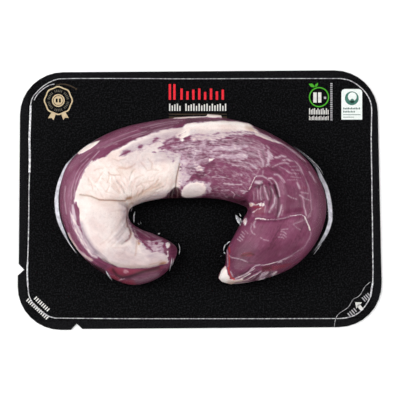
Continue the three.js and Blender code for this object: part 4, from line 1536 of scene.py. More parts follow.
def raw_meat() -> bpy.types.Material:
    """Raw pork: purple muscle with fibres and silver skin, cream fat, blood and stains.

    Returns:
        The material, moist and a little soft to the light.
    """
    material = bpy.data.materials.new("raw_pork")
    material.use_nodes = True
    tree = material.node_tree
    shader = tree.nodes["Principled BSDF"]
    layer = {
        tint: put(tree, "ShaderNodeAttribute", attribute_name=tint.value).outputs["Fac"]
        for tint in PAINTED
    }
    grain = put(tree, "ShaderNodeAttribute", attribute_name="grain").outputs["Vector"]
    place = put(tree, "ShaderNodeTexCoord").outputs["Object"]

    blotches = noise(tree, place, 0.011, 3, 1.7)
    flecks = noise(tree, place, 0.0022, 3, 4.2)
    # Sizes on the grain are millimetres along and across it. Real fibres are some 0.1 mm wide,
    # too fine to show, so their bundles are drawn 0.4 to 1.1 mm wide
    fibres = noise(tree, grain, (9, 1.1, 1), 4)
    threads = noise(tree, grain, (4, 0.4, 1), 2, 3.1)
    clouds = noise(tree, grain, (22, 9, 1), 2, 5.3)
    tone = maths(tree, "MULTIPLY_ADD", fibres, 0.26, maths(tree, "MULTIPLY", threads, 0.18))
    tone = maths(tree, "MULTIPLY_ADD", flecks, 0.22, tone)
    tone = maths(tree, "MULTIPLY_ADD", clouds, 0.4, tone)
    muscle = mix(tree, ease(tree, tone, 0.36, 0.54), MEAT.muscle_deep, MEAT.muscle)
    muscle = mix(tree, ease(tree, tone, 0.52, 0.74), muscle, MEAT.muscle_light)
    # Darker muscle, and painted shade on the flanks and edges
    muscle = mix(tree, maths(tree, "MULTIPLY", layer[Tint.DEEP_AND_SHADE], 0.8), muscle, MEAT.muscle_dark_and_shade)

    streaks = noise(tree, grain, (6, 2.2, 1), 6, 8.7)
    crisp = noise(tree, grain, (4.5, 1.0, 1), 3, 6.1)
    mottle = noise(tree, grain, (2.8, 1.3, 1), 4, 9.4)
    veil = maths(tree, "MULTIPLY_ADD", streaks, 1.1, layer[Tint.VEIL])
    veil = maths(tree, "MULTIPLY_ADD", crisp, 0.3, veil)
    veil = maths(tree, "MULTIPLY_ADD", mottle, 0.8, veil)
    veil = maths(tree, "MULTIPLY", ease(tree, veil, 1.35, 2.2), 0.8)
    muscle = mix(tree, veil, muscle, MEAT.silver)
    pale = maths(tree, "MULTIPLY", layer[Tint.PALE], ease(tree, crisp, 0.2, 0.62))
    muscle = mix(tree, pale, muscle, MEAT.pale)

    fat = mix(tree, ease(tree, blotches, 0.42, 0.68), MEAT.fat, MEAT.fat_pink)
    fat = mix(tree, maths(tree, "MULTIPLY", ease(tree, flecks, 0.45, 0.72), 0.25), fat, MEAT.fat_fold)
    # Painted shade in the fat's wrinkles
    fat = mix(tree, maths(tree, "MULTIPLY", layer[Tint.CREVICE_SHADE], 0.7), fat, MEAT.fat_crevice_shade)
    # Whiter fat and painted highlights
    fat = mix(tree, layer[Tint.WHITE], fat, MEAT.fat_white_and_highlight)
    # Greyish fat and painted shade on the fat
    cool = maths(tree, "MULTIPLY", layer[Tint.COOL_AND_SHADE], maths(tree, "MULTIPLY_ADD", streaks, 1.6, 0.2))
    fat = mix(tree, cool, fat, MEAT.fat_cool_and_shade)
    fat = mix(tree, layer[Tint.STAIN], fat, MEAT.stain)
    edge = maths(tree, "MULTIPLY_ADD", streaks, 0.7, layer[Tint.FAT])
    edge = maths(tree, "MULTIPLY_ADD", mottle, 0.9, edge)
    edge = maths(tree, "MULTIPLY_ADD", flecks, 0.3, edge)
    thin = maths(tree, "MULTIPLY", ease(tree, edge, 1.05, 1.5), ease(tree, layer[Tint.FAT], 0.02, 0.3))
    colour = mix(tree, maths(tree, "MULTIPLY", thin, 0.72), muscle, MEAT.fat_thin)
    colour = mix(tree, ease(tree, edge, 1.3, 1.75), colour, fat)

    blood = maths(tree, "MULTIPLY", layer[Tint.BLOOD], maths(tree, "MULTIPLY_ADD", fibres, 0.8, 0.55))
    colour = mix(tree, blood, colour, MEAT.blood)
    colour = mix(tree, layer[Tint.FLUSH], colour, MEAT.flush)
    # Painted shade in the creases, grooves and corners
    crease = mix(tree, layer[Tint.FAT], MEAT.crease, MEAT.crease_shade_in_fat)
    colour = mix(tree, layer[Tint.DARK], colour, crease)
    tree.links.new(colour, shader.inputs["Base Color"])

    fine = noise(tree, grain, (3, 0.5, 1), 3, 2.2)
    lumps = maths(tree, "MULTIPLY", flecks, maths(tree, "MULTIPLY_ADD", layer[Tint.FAT], 1.4, 0.4))
    bumps = maths(tree, "ADD", lumps, fine)
    bump = put(tree, "ShaderNodeBump", {"Height": bumps, "Distance": 0.0004, "Strength": 0.6})
    tree.links.new(bump.outputs[0], shader.inputs["Normal"])
    shader.inputs["Roughness"].default_value = MEAT.roughness
    shader.inputs["Specular IOR Level"].default_value = MEAT.specular
    shader.inputs["Subsurface Weight"].default_value = MEAT.soft_share
    shader.inputs["Subsurface Radius"].default_value = MEAT.soft_reach
    shader.inputs["Subsurface Scale"].default_value = MEAT.soft_depth
    return material


@dataclass(frozen=True)
class FilmFinish:
    """Clear skin film: thin and smooth, it mirrors a little, and its web carries whitish bands of painted
    reflection.
    """

    # Colours and grain size of the web's painted reflection bands
    drawn: str = "#D2CFD9"
    reflection_light: str = "#F0EEF6"
    reflection_size: float = 0.003
    ripple: float = 0.006
    ripple_height: float = 0.0002
    grazing_gain: float = 9.0


FILM = FilmFinish()


def clear_film() -> bpy.types.Material:
    """Clear film: it mirrors a little, more where it leans away; its web carries painted whitish reflections.

    Returns:
        The material.
    """
    material = bpy.data.materials.new("clear_skin_film")
    material.use_nodes = True
    tree = material.node_tree
    tree.nodes.remove(tree.nodes["Principled BSDF"])
    facing = put(tree, "ShaderNodeLayerWeight", {"Blend": 0.5}).outputs["Facing"]
    gloss = put(tree, "ShaderNodeAttribute", attribute_name="gloss").outputs["Fac"]
    rough = put(tree, "ShaderNodeAttribute", attribute_name="rough").outputs["Fac"]
    place = put(tree, "ShaderNodeTexCoord").outputs["Object"]
    grazing = maths(tree, "POWER", facing, 5.0)
    gloss = maths(tree, "MULTIPLY", maths(tree, "MULTIPLY_ADD", grazing, FILM.grazing_gain, 1.0), gloss)
    relief = {"Height": noise(tree, place, FILM.ripple, 1), "Distance": FILM.ripple_height, "Strength": 0.1}
    bump = put(tree, "ShaderNodeBump", relief).outputs[0]
    mirror = put(tree, "ShaderNodeBsdfGlossy", {"Color": (1, 1, 1, 1), "Roughness": rough, "Normal": bump})
    clear = put(tree, "ShaderNodeBsdfTransparent")
    both = put(tree, "ShaderNodeMixShader", {0: gloss, 1: clear.outputs[0], 2: mirror.outputs[0]})
    # Painted reflection: a whitish diffuse sheet mixed in where the shine attribute marks the web's bands
    shine = put(tree, "ShaderNodeAttribute", attribute_name="shine").outputs["Fac"]
    drawn = noise(tree, place, FILM.reflection_size, 3, 1.1)
    whitish = mix(tree, ease(tree, drawn, 0.3, 0.7), FILM.drawn, FILM.reflection_light)
    sheen = put(tree, "ShaderNodeBsdfDiffuse", {"Color": whitish})
    shine = maths(tree, "MULTIPLY", shine, maths(tree, "MULTIPLY_ADD", drawn, 0.3, 0.8))
    painted_bands = put(tree, "ShaderNodeMixShader", {0: shine, 1: both.outputs[0], 2: sheen.outputs[0]})
    tree.links.new(painted_bands.outputs[0], tree.nodes["Material Output"].inputs["Surface"])
    return material


def milky_film(name: str, hex_colour: str, cover: float, speckle: float) -> bpy.types.Material:
    """Whitish film, for the seal and its wrinkles and for painted glints on the web.

    Args:
        name: the material's name.
        hex_colour: its sRGB colour.
        cover: how much it hides, from 0 to 1.
        speckle: how unevenly, from 0 to 1.

    Returns:
        The material.
    """
    material = bpy.data.materials.new(name)
    material.use_nodes = True
    tree = material.node_tree
    shader = tree.nodes["Principled BSDF"]
    place = put(tree, "ShaderNodeTexCoord").outputs["Object"]
    grains = noise(tree, place, 0.0016)
    share = ease(tree, grains, 0.35, 0.65)
    tone = mix(tree, share, hex_colour, "#FFFFFF")
    tree.links.new(tone, shader.inputs["Base Color"])
    alpha = maths(tree, "MULTIPLY_ADD", share, cover * speckle, cover * (1 - speckle))
    tree.links.new(alpha, shader.inputs["Alpha"])
    shader.inputs["Roughness"].default_value = 0.25
    return material


def plain_print(name: str, hex_colour: str, second: str, size: float = 0.002) -> bpy.types.Material:
    """Printing ink with a little unevenness between two close colours.

    Args:
        name: the material's name.
        hex_colour: its sRGB colour.
        second: the other colour.
        size: the unevenness's size in metres.

    Returns:
        The material.
    """
    material = bpy.data.materials.new(name)
    material.use_nodes = True
    tree = material.node_tree
    shader = tree.nodes["Principled BSDF"]
    place = put(tree, "ShaderNodeTexCoord").outputs["Object"]
    grains = noise(tree, place, size)
    tree.links.new(mix(tree, ease(tree, grains, 0.3, 0.7), hex_colour, second), shader.inputs["Base Color"])
    shader.inputs["Roughness"].default_value = 0.5
    shader.inputs["Specular IOR Level"].default_value = 0.2
    return material


# The film


# The painted reflections on the web, drawn as whitish bands: the side, then places from back to front as y in
# millimetres, the band's start and end as shares of the way from the meat to the card, and its strength
WEB_REFLECTION_BANDS = (
    (-1, (
        (27, 0.18, 0.5, 0.3), (23, 0.2, 0.6, 0.85), (17, 0.2, 0.58, 0.85), (12.5, 0.22, 0.66, 0.85),
        (5.5, 0.31, 0.76, 0.85), (-1, 0.3, 0.82, 0.88), (-8, 0.26, 0.78, 0.86), (-15, 0.2, 0.68, 0.76),
        (-22, 0.16, 0.54, 0.66), (-29, 0.26, 0.42, 0.34), (-34.5, 0.2, 0.3, 0.12), (-38, 0.2, 0.3, 0.0),
    )),
    (1, (
        (34, 0.5, 0.65, 0.0), (30, 0.5, 0.65, 0.15), (23, 0.55, 0.75, 0.22), (19, 0.55, 0.8, 0.32),
        (12.5, 0.3, 0.74, 0.65), (5.5, 0.36, 0.82, 0.8), (-1, 0.3, 0.78, 0.9), (-8, 0.31, 0.79, 0.97),
        (-15, 0.47, 0.9, 0.97), (-22, 0.42, 0.82, 0.88), (-29, 0.3, 0.6, 0.5), (-34, 0.25, 0.42, 0.2),
        (-37, 0.2, 0.35, 0.0),
    )),
)


@dataclass
class SkinFilm:
    """The film over the meat, down its web to the card and out to the card's edge."""

    meat: Tenderloin
    lift: float = 0.35
    reach: float = 4.5
    left_reach: float = 0.7
    right_reach: float = 1.7
    level: float = 1.45
    thinning: int = 2
    soft_passes: int = 6
    web_rows: int = 24
    steepness: float = 0.51
    fall_share: float = 0.2
    web_gloss: float = 0.02
    rest_gloss: float = 0.012
    rest_rough: float = 0.06
    meat_gloss: float = 0.0025
    meat_rough: float = 0.2
    taut_passes: int = 160
    card_half: Pixel = (124.6, 89.6)
    card_corner: float = 30.0
    corner_steps: int = 12

    def skin(self) -> np.ndarray:
        """Lays the film over the crown: it follows the meat but bridges its finest hollows.

        Returns:
            Its places, by station and row.
        """
        soft = self.meat.relief
        for _ in range(self.soft_passes):
            padded = np.pad(soft, 1, mode="edge")
            beside = padded[:-2, 1:-1] + padded[2:, 1:-1] + padded[1:-1, :-2] + padded[1:-1, 2:]
            soft = (beside + 2 * soft) / 6
        height = np.maximum(soft, self.meat.relief) + self.lift
        crown = self.meat.crown + self.meat.normals * height[..., None]
        return crown[:: self.thinning, :: self.thinning]

    def foot(self, outline: np.ndarray) -> np.ndarray:
        """Finds where the web meets the card: drawn straight where it bridges a hollow.

        Args:
            outline: the film's rim round the meat.

        Returns:
            The foot's places on the card.
        """
        along = np.roll(outline, -1, axis=0) - np.roll(outline, 1, axis=0)
        out = np.column_stack([along[:, 1], -along[:, 0]])
        out /= np.maximum(np.linalg.norm(out, axis=1, keepdims=True), 1e-9)
        for _ in range(self.soft_passes):
            out = (np.roll(out, 1, axis=0) + out + np.roll(out, -1, axis=0)) / 3
        out /= np.linalg.norm(out, axis=1, keepdims=True)
        x = outline[:, 0]
        reach = self.reach + self.left_reach * smooth_step(-x, 60, 80)
        reach += self.right_reach * smooth_step(x, 45, 75)
        foot = outline[:, :2] + out * reach[:, None]
        for _ in range(self.taut_passes):
            drawn = (np.roll(foot, 1, axis=0) + np.roll(foot, -1, axis=0)) / 2
            bridging = np.einsum("ij,ij->i", drawn - foot, out) > 0
            foot = np.where(bridging[:, None], drawn, foot)
        return foot

    def build(self) -> bpy.types.Object:
        """Makes the film as one open sheet that faces up and out.

        Returns:
            The piece.
        """
        skin = self.skin()
        stations, rows = skin.shape[:2]
        tips = self.meat.tips + np.array([[0, 0, self.lift]] * 2)
        tips[:, :2] += (self.meat.tips - skin[[0, -1], rows // 2])[:, :2] * 0.1
        cover = np.concatenate([skin.reshape(-1, 3), tips])
        tail, butt = stations * rows, stations * rows + 1
        faces = [
            (s * rows + r, (s + 1) * rows + r, (s + 1) * rows + r + 1, s * rows + r + 1)
            for s in range(stations - 1)
            for r in range(rows - 1)
        ]
        faces += [(tail, r, r + 1) for r in range(rows - 1)]
        last = (stations - 1) * rows
        faces += [(last + r, butt, last + r + 1) for r in range(rows - 1)]

        rim = [tail, *(s * rows for s in range(stations)), butt]
        rim += [s * rows + rows - 1 for s in reversed(range(stations))]
        web = self.web(cover[rim])
        flange = len(cover) + len(web)
        loops = [rim, *np.arange(len(cover), flange).reshape(-1, len(rim)).tolist()]
        for inner, outer in zip(loops, loops[1:]):
            for k in range(len(rim)):
                after = (k + 1) % len(rim)
                faces.append((inner[k], outer[k], outer[after], inner[after]))

        edge = self.card_loop()
        sheet = np.concatenate([edge, web[-len(rim) :]])
        faces += flat_faces([edge, web[-len(rim) :]], flange)
        piece = build_object("clear_film", np.concatenate([cover, web, sheet]), faces, clear_film())
        self.dress(piece, self.bands(cover[rim]).ravel(), len(cover))
        take_in(piece, "film", "skin_film")
        return piece

    def web(self, outline: np.ndarray) -> np.ndarray:
        """Lets the film down from the meat's widest outline to the card.

        Args:
            outline: the film's rim round the meat.

        Returns:
            The web's places, row after row.
        """
        foot = self.foot(outline)
        widths = np.linalg.norm(foot - outline[:, :2], axis=1)
        ramps = self.steepness * np.minimum(widths, self.reach + self.right_reach)
        rows = []
        for out in self.outs():
            fall = np.clip(1 - out / self.fall_share, 0, 1) ** 2
            flat = outline[:, :2] + (foot - outline[:, :2]) * out
            levels = self.level + ramps * (1 - out) ** 1.35 + (outline[:, 2] - self.level - ramps) * fall
            rows.append(np.column_stack([flat, levels]))
        return np.concatenate(rows)

    def dress(self, piece: bpy.types.Object, shine: np.ndarray, covered: int) -> None:
        """Stores how the film mirrors, and where its web carries the whitish bands of painted reflection.

        Args:
            piece: the film.
            shine: the web's painted reflection bands.
            covered: how many vertices lie over the meat, before the web's.
        """
        count = len(piece.data.vertices)
        web = slice(covered, covered + len(shine))
        values = {
            "shine": np.zeros(count),
            "gloss": np.full(count, self.rest_gloss),
            "rough": np.full(count, self.rest_rough),
        }
        values["shine"][web] = shine
        values["gloss"][web] = self.web_gloss * shine
        values["gloss"][:covered] = self.meat_gloss
        values["rough"][:covered] = self.meat_rough
        for name, numbers in values.items():
            write_attribute(piece, name, numbers)

    def bands(self, outline: np.ndarray) -> np.ndarray:
        """Works out the web's whitish bands of painted reflection of the side lights, beside each outer
        flank.

        Args:
            outline: the film's rim round the meat.

        Returns:
            The shine, by web row and place along the rim.
        """
        out = self.outs()[:, None]
        total = np.zeros((len(out), len(outline)))
        for side, rows in WEB_REFLECTION_BANDS:
            table = np.array(rows, float)[::-1]
            start, end, strength = (np.interp(outline[:, 1], table[:, 0], column) for column in table.T[1:])
            opening = smooth_step(out, start - 0.05, start + 0.05)
            closing = smooth_step(out, end - 0.05, end + 0.05)
            total += opening * (1 - closing) * strength * smooth_step(side * outline[:, 0], 54, 66)
        return total

    def outs(self) -> np.ndarray:
        """The web rows' shares of the way from the meat to the card."""
        return (np.arange(1, self.web_rows + 1) / self.web_rows) ** 1.4

    def card_loop(self) -> np.ndarray:
        """Rounds the card's edge.

        Returns:
            Its places, anticlockwise.
        """
        loop = []
        for turn, (side, end) in enumerate(((1, 1), (-1, 1), (-1, -1), (1, -1))):
            x = side * (self.card_half[0] - self.card_corner)
            y = end * (self.card_half[1] - self.card_corner)
            for k in range(self.corner_steps + 1):
                angle = (turn + k / self.corner_steps) * math.pi / 2
                reach = self.card_corner * np.array([math.cos(angle), math.sin(angle)])
                loop.append((x + reach[0], y + reach[1], self.level))
        return np.array(loop)


# Raised lines along paths, by geometry nodes


@dataclass(frozen=True)
class Cord:
    """A thin raised line: its path, its half width at the middle and at the ends, in millimetres."""

    path: tuple[tuple[float, float, float], ...]
    half_width: float
    end_share: float = 0.35
    closed: bool = False


def raised_line_tree(material: bpy.types.Material) -> bpy.types.NodeTree:
    """Builds the node tree that lays a flattened, slightly uneven tube along curves.

    Args:
        material: the tube's finish.

    Returns:
        The tree.
    """
    tree = bpy.data.node_groups.new("raised_line", "GeometryNodeTree")
    tree.interface.new_socket("Geometry", in_out="INPUT", socket_type="NodeSocketGeometry")
    for name, value in (("Spacing", 0.0008), ("Flatness", 0.5), ("Raggedness", 0.0), ("Seed", 3.0)):
        socket = tree.interface.new_socket(name, in_out="INPUT", socket_type="NodeSocketFloat")
        socket.default_value = value
    tree.interface.new_socket("Geometry", in_out="OUTPUT", socket_type="NodeSocketGeometry")
    given = put(tree, "NodeGroupInput").outputs
    spaced = {"Curve": given["Geometry"], "Length": given["Spacing"]}
    fine = put(tree, "GeometryNodeResampleCurve", spaced, mode="LENGTH")
    circle = put(tree, "GeometryNodeCurvePrimitiveCircle", {"Resolution": 8, "Radius": 1.0})
    squash = put(tree, "ShaderNodeCombineXYZ", {0: 1.0, 1: given["Flatness"], 2: 1.0})
    profile = put(
        tree, "GeometryNodeTransform", {"Geometry": circle.outputs["Curve"], "Scale": squash.outputs[0]}
    )
    width = put(tree, "GeometryNodeInputRadius").outputs[0]
    tube = put(
        tree,
        "GeometryNodeCurveToMesh",
        {"Curve": fine.outputs[0], "Profile Curve": profile.outputs[0], "Scale": width, "Fill Caps": True},
    )
    seeded = {"W": given["Seed"], "Scale": 700.0, "Detail": 2.0}
    rough = put(tree, "ShaderNodeTexNoise", seeded, noise_dimensions="4D")
    halves = {0: rough.outputs["Color"], 1: (0.5, 0.5, 0.5)}
    centred = put(tree, "ShaderNodeVectorMath", halves, operation="SUBTRACT")
    scaled = {0: centred.outputs[0], "Scale": given["Raggedness"]}
    push = put(tree, "ShaderNodeVectorMath", scaled, operation="SCALE")
    moved = put(tree, "GeometryNodeSetPosition", {"Geometry": tube.outputs[0], "Offset": push.outputs[0]})
    real = put(tree, "GeometryNodeRealizeInstances", {0: moved.outputs[0]})
    smooth = put(tree, "GeometryNodeSetShadeSmooth", {0: real.outputs[0]})
    made = put(tree, "GeometryNodeSetMaterial", {"Geometry": smooth.outputs[0], "Material": material})
    put(tree, "NodeGroupOutput", {0: made.outputs[0]})
    return tree


def lay_lines(
    name: str,
    cords: Sequence[Cord],
    material: bpy.types.Material,
    flatness: float,
    raggedness: float = 0.0,
    slot: str = "film",
) -> bpy.types.Object:
    """Lays raised lines along their paths as one plain mesh piece.

    Args:
        name: the piece's name.
        cords: the lines.
        material: their finish.
        flatness: a line's height as a share of its width.
        raggedness: how far its surface wanders, in millimetres.
        slot: the material slot in the part's record.

    Returns:
        The piece, riding on the part.
    """
    data = bpy.data.curves.new(name, "CURVE")
    data.dimensions = "3D"
    data.twist_mode = "Z_UP"
    for cord in cords:
        spline = data.splines.new("POLY")
        spline.points.add(len(cord.path) - 1)
        spline.use_cyclic_u = cord.closed
        last = max(len(cord.path) - 1, 1)
        for k, (point, place) in enumerate(zip(spline.points, cord.path)):
            ease_in = 1.0 if cord.closed else min(1.0, cord.end_share + 2.5 * min(k, last - k) / last)
            point.co = (*(value * MM for value in place), 1)
            point.radius = cord.half_width * MM * ease_in
    curve = bpy.data.objects.new(f"{name}_paths", data)
    bpy.context.scene.collection.objects.link(curve)
    tree = raised_line_tree(material)
    modifier = curve.modifiers.new("raised_line", "NODES")
    modifier.node_group = tree
    values = {"Flatness": flatness, "Raggedness": raggedness * MM}
    for item in tree.interface.items_tree:
        if item.in_out == "INPUT" and item.name in values:
            modifier[item.identifier] = values[item.name]
    evaluated = curve.evaluated_get(bpy.context.evaluated_depsgraph_get())
    mesh = bpy.data.meshes.new_from_object(evaluated)
    curve.modifiers.clear()
    bpy.data.objects.remove(curve)
    piece = bpy.data.objects.new(name, mesh)
    if not mesh.materials:
        mesh.materials.append(material)
    bpy.context.scene.collection.objects.link(piece)
    take_in(piece, slot)
    return piece


def smooth_path(points: Sequence[Sequence[float]], steps: int = 6) -> np.ndarray:
    """Rounds a path through its points."""
    places = np.linspace(0, len(points) - 1, (len(points) - 1) * steps + 1)
    return catmull_rom(np.array(points, float), places, closed=False)


@dataclass
class SealLine:
    """The film's raised seal on the card: a rounded loop whose sides differ in width, whiter on the left as
    painted highlight.
    """

    level: float = 1.7

    def build(self, sight: Sight) -> None:
        """Lays the four sides, the wrinkles at two corners and the peel corner's crease.

        Args:
            sight: the photograph's eye.
        """
        # The seal is milky film; its left side and right end are drawn whiter and denser as painted highlight
        # where the ridge catches the side lights
        highlit_seal = milky_film("seal_white_highlit", "#C9C7CE", 0.85, 0.25)
        thin = milky_film("seal_grey", "#B5B1BA", 0.62, 0.15)
        left = [(30.2, 105), (29.7, 118), (29.3, 130), (28.95, 142), (29.3, 158), (29, 172)]
        lower_left = [
            (29, 172), (28.5, 190), (28.4, 208), (28.2, 222), (27.8, 240), (27.3, 256), (26.9, 268),
            (27, 280), (27.8, 290), (28.8, 296), (32.5, 302.6), (38, 308.4), (44, 313), (49, 316),
            (55, 317.6),
        ]
        left_end = [(27.2, 261), (26.8, 268), (26.9, 276), (27.3, 285)]
        upper_left = [
            (30.2, 105), (31, 100), (33, 95.6), (36, 92), (41, 87), (46.6, 83.1), (52.1, 80.3), (58, 78.4),
        ]
        right = [
            (340, 78), (347.7, 79.4), (353, 81.8), (357.7, 85), (364.3, 91.1), (369.3, 99.4), (371.1, 108),
            (370.95, 124), (370.7, 136), (370.8, 148), (371, 160), (371.2, 172), (371.4, 190), (371.5, 204),
            (371.9, 220), (372.1, 240), (372.3, 256), (372.5, 268), (372.3, 280), (371.4, 287),
            (370.7, 293.8), (367.9, 300.4), (363.4, 307.1), (356.8, 313.2), (349, 316.6), (340, 318),
        ]
        right_end = [(372.2, 282), (371.2, 288), (370.3, 294.6)]
        back = [(58, 78.4), (80, 77.95), (140, 78.05), (180, 78.3), (220, 78.2), (260, 78.05), (340, 78)]
        front = [(55, 317.6), (100, 318), (140, 318.2), (260, 318.2), (300, 318.1), (340, 318)]
        crease = [
            (333.8, 326.6), (334.6, 320.4), (335.9, 316.6), (338.4, 313.2), (343.4, 309.9), (347.3, 307.1),
            (350.1, 303.2), (352.6, 298.8), (356.8, 296.6), (360.1, 293.8), (362.3, 289.9), (365.1, 285.4),
            (369.6, 281.6),
        ]
        doubled = [(33.6, 99.6), (37, 93.8), (42, 89), (47, 85.6), (52, 83.8), (54, 83.6)]
        cords = {
            "seal_left": ([(left, 0.7), (left_end, 0.5), (right_end, 0.6)], highlit_seal, 0.35, 0.45),
            "seal_thin": ([(lower_left, 0.36), (right, 0.36), (back, 0.25), (front, 0.25)], thin, 0.5, 0.04),
            "seal_wrinkles": ([(upper_left, 0.3), (doubled, 0.3), (crease, 0.15)], thin, 0.5, 0.4),
        }
        for name, (paths, material, flatness, raggedness) in cords.items():
            made = []
            for path, width in paths:
                laid = smooth_path([sight.on_level(pixel, self.level) for pixel in path], 8)
                made.append(Cord(tuple(map(tuple, laid)), width, 1.0))
            lay_lines(name, made, material, flatness, raggedness)


@dataclass(frozen=True)
class Glint:
    """A painted glint, a whitish line on a film wrinkle: half width in millimetres, path in pixels."""

    half_width: float
    path: tuple[Pixel, ...]


# Painted glints where the film's wrinkles mirror the lights
WEB_GLINTS = (
    Glint(0.5, ((134.5, 211), (133.4, 216), (133.6, 222))),
    Glint(0.4, ((137.5, 222.5), (138.8, 224))),
    Glint(0.4, ((140, 221.5), (140.6, 223.5))),
    Glint(0.4, ((157.5, 233.6), (159.5, 232.6))),
    Glint(0.3, ((131.5, 207.5), (130.5, 211))),
    Glint(1.1, ((235.3, 214.5), (237.5, 219), (239.6, 224.5))),
    Glint(0.5, ((239.4, 217.5), (241.4, 222))),
    Glint(0.35, ((239, 213), (240.5, 216))),
    Glint(0.3, ((178, 243), (179.3, 248), (178.6, 254))),
    Glint(0.3, ((171.5, 257), (170.5, 264), (169, 270.5))),
    Glint(0.25, ((173, 258), (172, 265))),
    Glint(0.4, ((229.6, 240.8), (227.4, 242.2), (226, 244))),
    Glint(0.35, ((225, 243.4), (223.6, 247), (223, 250.4))),
    Glint(0.5, ((223.2, 251.4), (224.6, 253.4))),
    Glint(0.3, ((221, 255), (220, 255.8))),
    Glint(0.45, ((105.3, 270.4), (107, 273.4), (109, 276.4), (111.6, 279.8))),
    Glint(0.2, ((63.4, 233), (66, 238.2), (69.6, 244), (73.6, 249.8), (76, 252.8))),
    Glint(0.14, ((303, 152), (309, 157.4), (315.6, 163.8), (320, 169), (323, 174.4))),
    Glint(0.16, ((321, 243), (317, 249), (313, 254))),
)


def seen_on(tree: BVHTree, sight: Sight, pixel: Pixel, sink: float) -> tuple[float, float, float] | None:
    """Finds where a pixel's line of sight meets a surface.

    Args:
        tree: the surface.
        sight: the photograph's eye.
        pixel: column and row in the photograph.
        sink: how far to go under the surface, in millimetres.

    Returns:
        The place in millimetres, or None where it misses.
    """
    eye = Vector(sight.eye()) * MM
    aim = Vector(sight.on_level(pixel, 0)) * MM - eye
    place, normal, _, _ = tree.ray_cast(eye, aim.normalized())
    return None if place is None else tuple(place / MM - normal * sink)


def lay_glints(film: bpy.types.Object, sight: Sight) -> None:
    """Lays the painted glints on the film's wrinkles, as whitish lines.

    Args:
        film: the film's piece.
        sight: the photograph's eye.
    """
    tree = BVHTree.FromObject(film, bpy.context.evaluated_depsgraph_get())
    cords = []
    for glint in WEB_GLINTS:
        sink = glint.half_width * 0.2
        laid = [seen_on(tree, sight, tuple(pixel), sink) for pixel in smooth_path(glint.path)]
        cords.append(Cord(tuple(place for place in laid if place), glint.half_width, 0.2))
    lay_lines("painted_web_glints", cords, milky_film("painted_film_glints", "#D9DBE4", 0.85, 0.3), 0.5, 0.2)


# Thin membranes that stand up from the meat


MEMBRANES = (
    (((254.6, 217.5), (258, 217.5), (262, 218.3)), 0.2),
    (((293, 215), (300, 213.9), (303, 215)), 0.12),
    (((304, 216.5), (306, 220.5), (308, 225), (309.4, 229)), 0.2),
)


def lay_membranes(meat: bpy.types.Object, sight: Sight) -> None:
    """Lays thin pale membranes on the meat, where the photograph's eye sees them.

    Args:
        meat: the meat's piece.
        sight: the photograph's eye.
    """
    tree = BVHTree.FromObject(meat, bpy.context.evaluated_depsgraph_get())
    cords = []
    for path, half_width in MEMBRANES:
        laid = [seen_on(tree, sight, tuple(pixel), half_width * 0.45) for pixel in smooth_path(path, 5)]
        cords.append(Cord(tuple(place for place in laid if place), half_width))
    finish = plain_print("membrane", "#E4D2D8", "#CDB4C0", 0.003)
    lay_lines("membranes", cords, finish, 0.8, 0.12, "meat")


# The card and its print


@dataclass(frozen=True)
class BoardFinish:
    """Coated black board: nearly matt and faintly speckled, lighter outside the seal."""

    dark: str = "#020203"
    speckled: str = "#1A1A1C"
    outer_dark: str = "#0A0A0C"
    outer_speckled: str = "#19191B"
    speckle: float = 0.0011
    speckle_height: float = 0.0001
    seal_half: Pixel = (0.119, 0.084)
    seal_soft: float = 0.0006
    roughness: float = 0.6
    specular: float = 0.03


BOARD = BoardFinish()


def black_board() -> bpy.types.Material:
    """Coated black board with a faint speckle, a little lighter outside the seal.

    Returns:
        The material.
    """
    material = bpy.data.materials.new("black_coated_board")
    material.use_nodes = True
    tree = material.node_tree
    shader = tree.nodes["Principled BSDF"]
    place = put(tree, "ShaderNodeTexCoord").outputs["Object"]
    # The board's own grain is finer than a pixel, so its speckle is drawn about 1 mm wide
    speckle = noise(tree, place, BOARD.speckle, 4)
    inner = mix(tree, ease(tree, speckle, 0.42, 0.7), BOARD.dark, BOARD.speckled)
    parts = put(tree, "ShaderNodeSeparateXYZ", {0: place}).outputs
    beside = maths(tree, "SUBTRACT", maths(tree, "ABSOLUTE", parts[0]), BOARD.seal_half[0])
    beyond = maths(tree, "SUBTRACT", maths(tree, "ABSOLUTE", parts[1]), BOARD.seal_half[1])
    margin = ease(tree, maths(tree, "MAXIMUM", beside, beyond), -BOARD.seal_soft, BOARD.seal_soft)
    outer = mix(tree, ease(tree, speckle, 0.35, 0.7), BOARD.outer_dark, BOARD.outer_speckled)
    tree.links.new(mix(tree, margin, inner, outer), shader.inputs["Base Color"])
    relief = {"Height": speckle, "Distance": BOARD.speckle_height, "Strength": 0.4}
    bump = put(tree, "ShaderNodeBump", relief)
    tree.links.new(bump.outputs[0], shader.inputs["Normal"])
    shader.inputs["Roughness"].default_value = BOARD.roughness
    shader.inputs["Specular IOR Level"].default_value = BOARD.specular
    return material


Loop = list[Pixel]


def bar(left: float, top: float, right: float, bottom: float) -> Loop:
    """A bar's corners in pixels."""
    return [(left, top), (right, top), (right, bottom), (left, bottom)]


def leaning_bar(start: Pixel, end: Pixel, width: float) -> Loop:
    """Shapes a bar between two pixels.

    Args:
        start: the middle of one end.
        end: the middle of the other.
        width: its width, in pixels.

    Returns:
        Its corners.
    """
    run = math.hypot(end[0] - start[0], end[1] - start[1])
    x, y = (start[1] - end[1]) / run * width / 2, (end[0] - start[0]) / run * width / 2
    return [
        (start[0] + x, start[1] + y), (end[0] + x, end[1] + y), (end[0] - x, end[1] - y),
        (start[0] - x, start[1] - y),
    ]


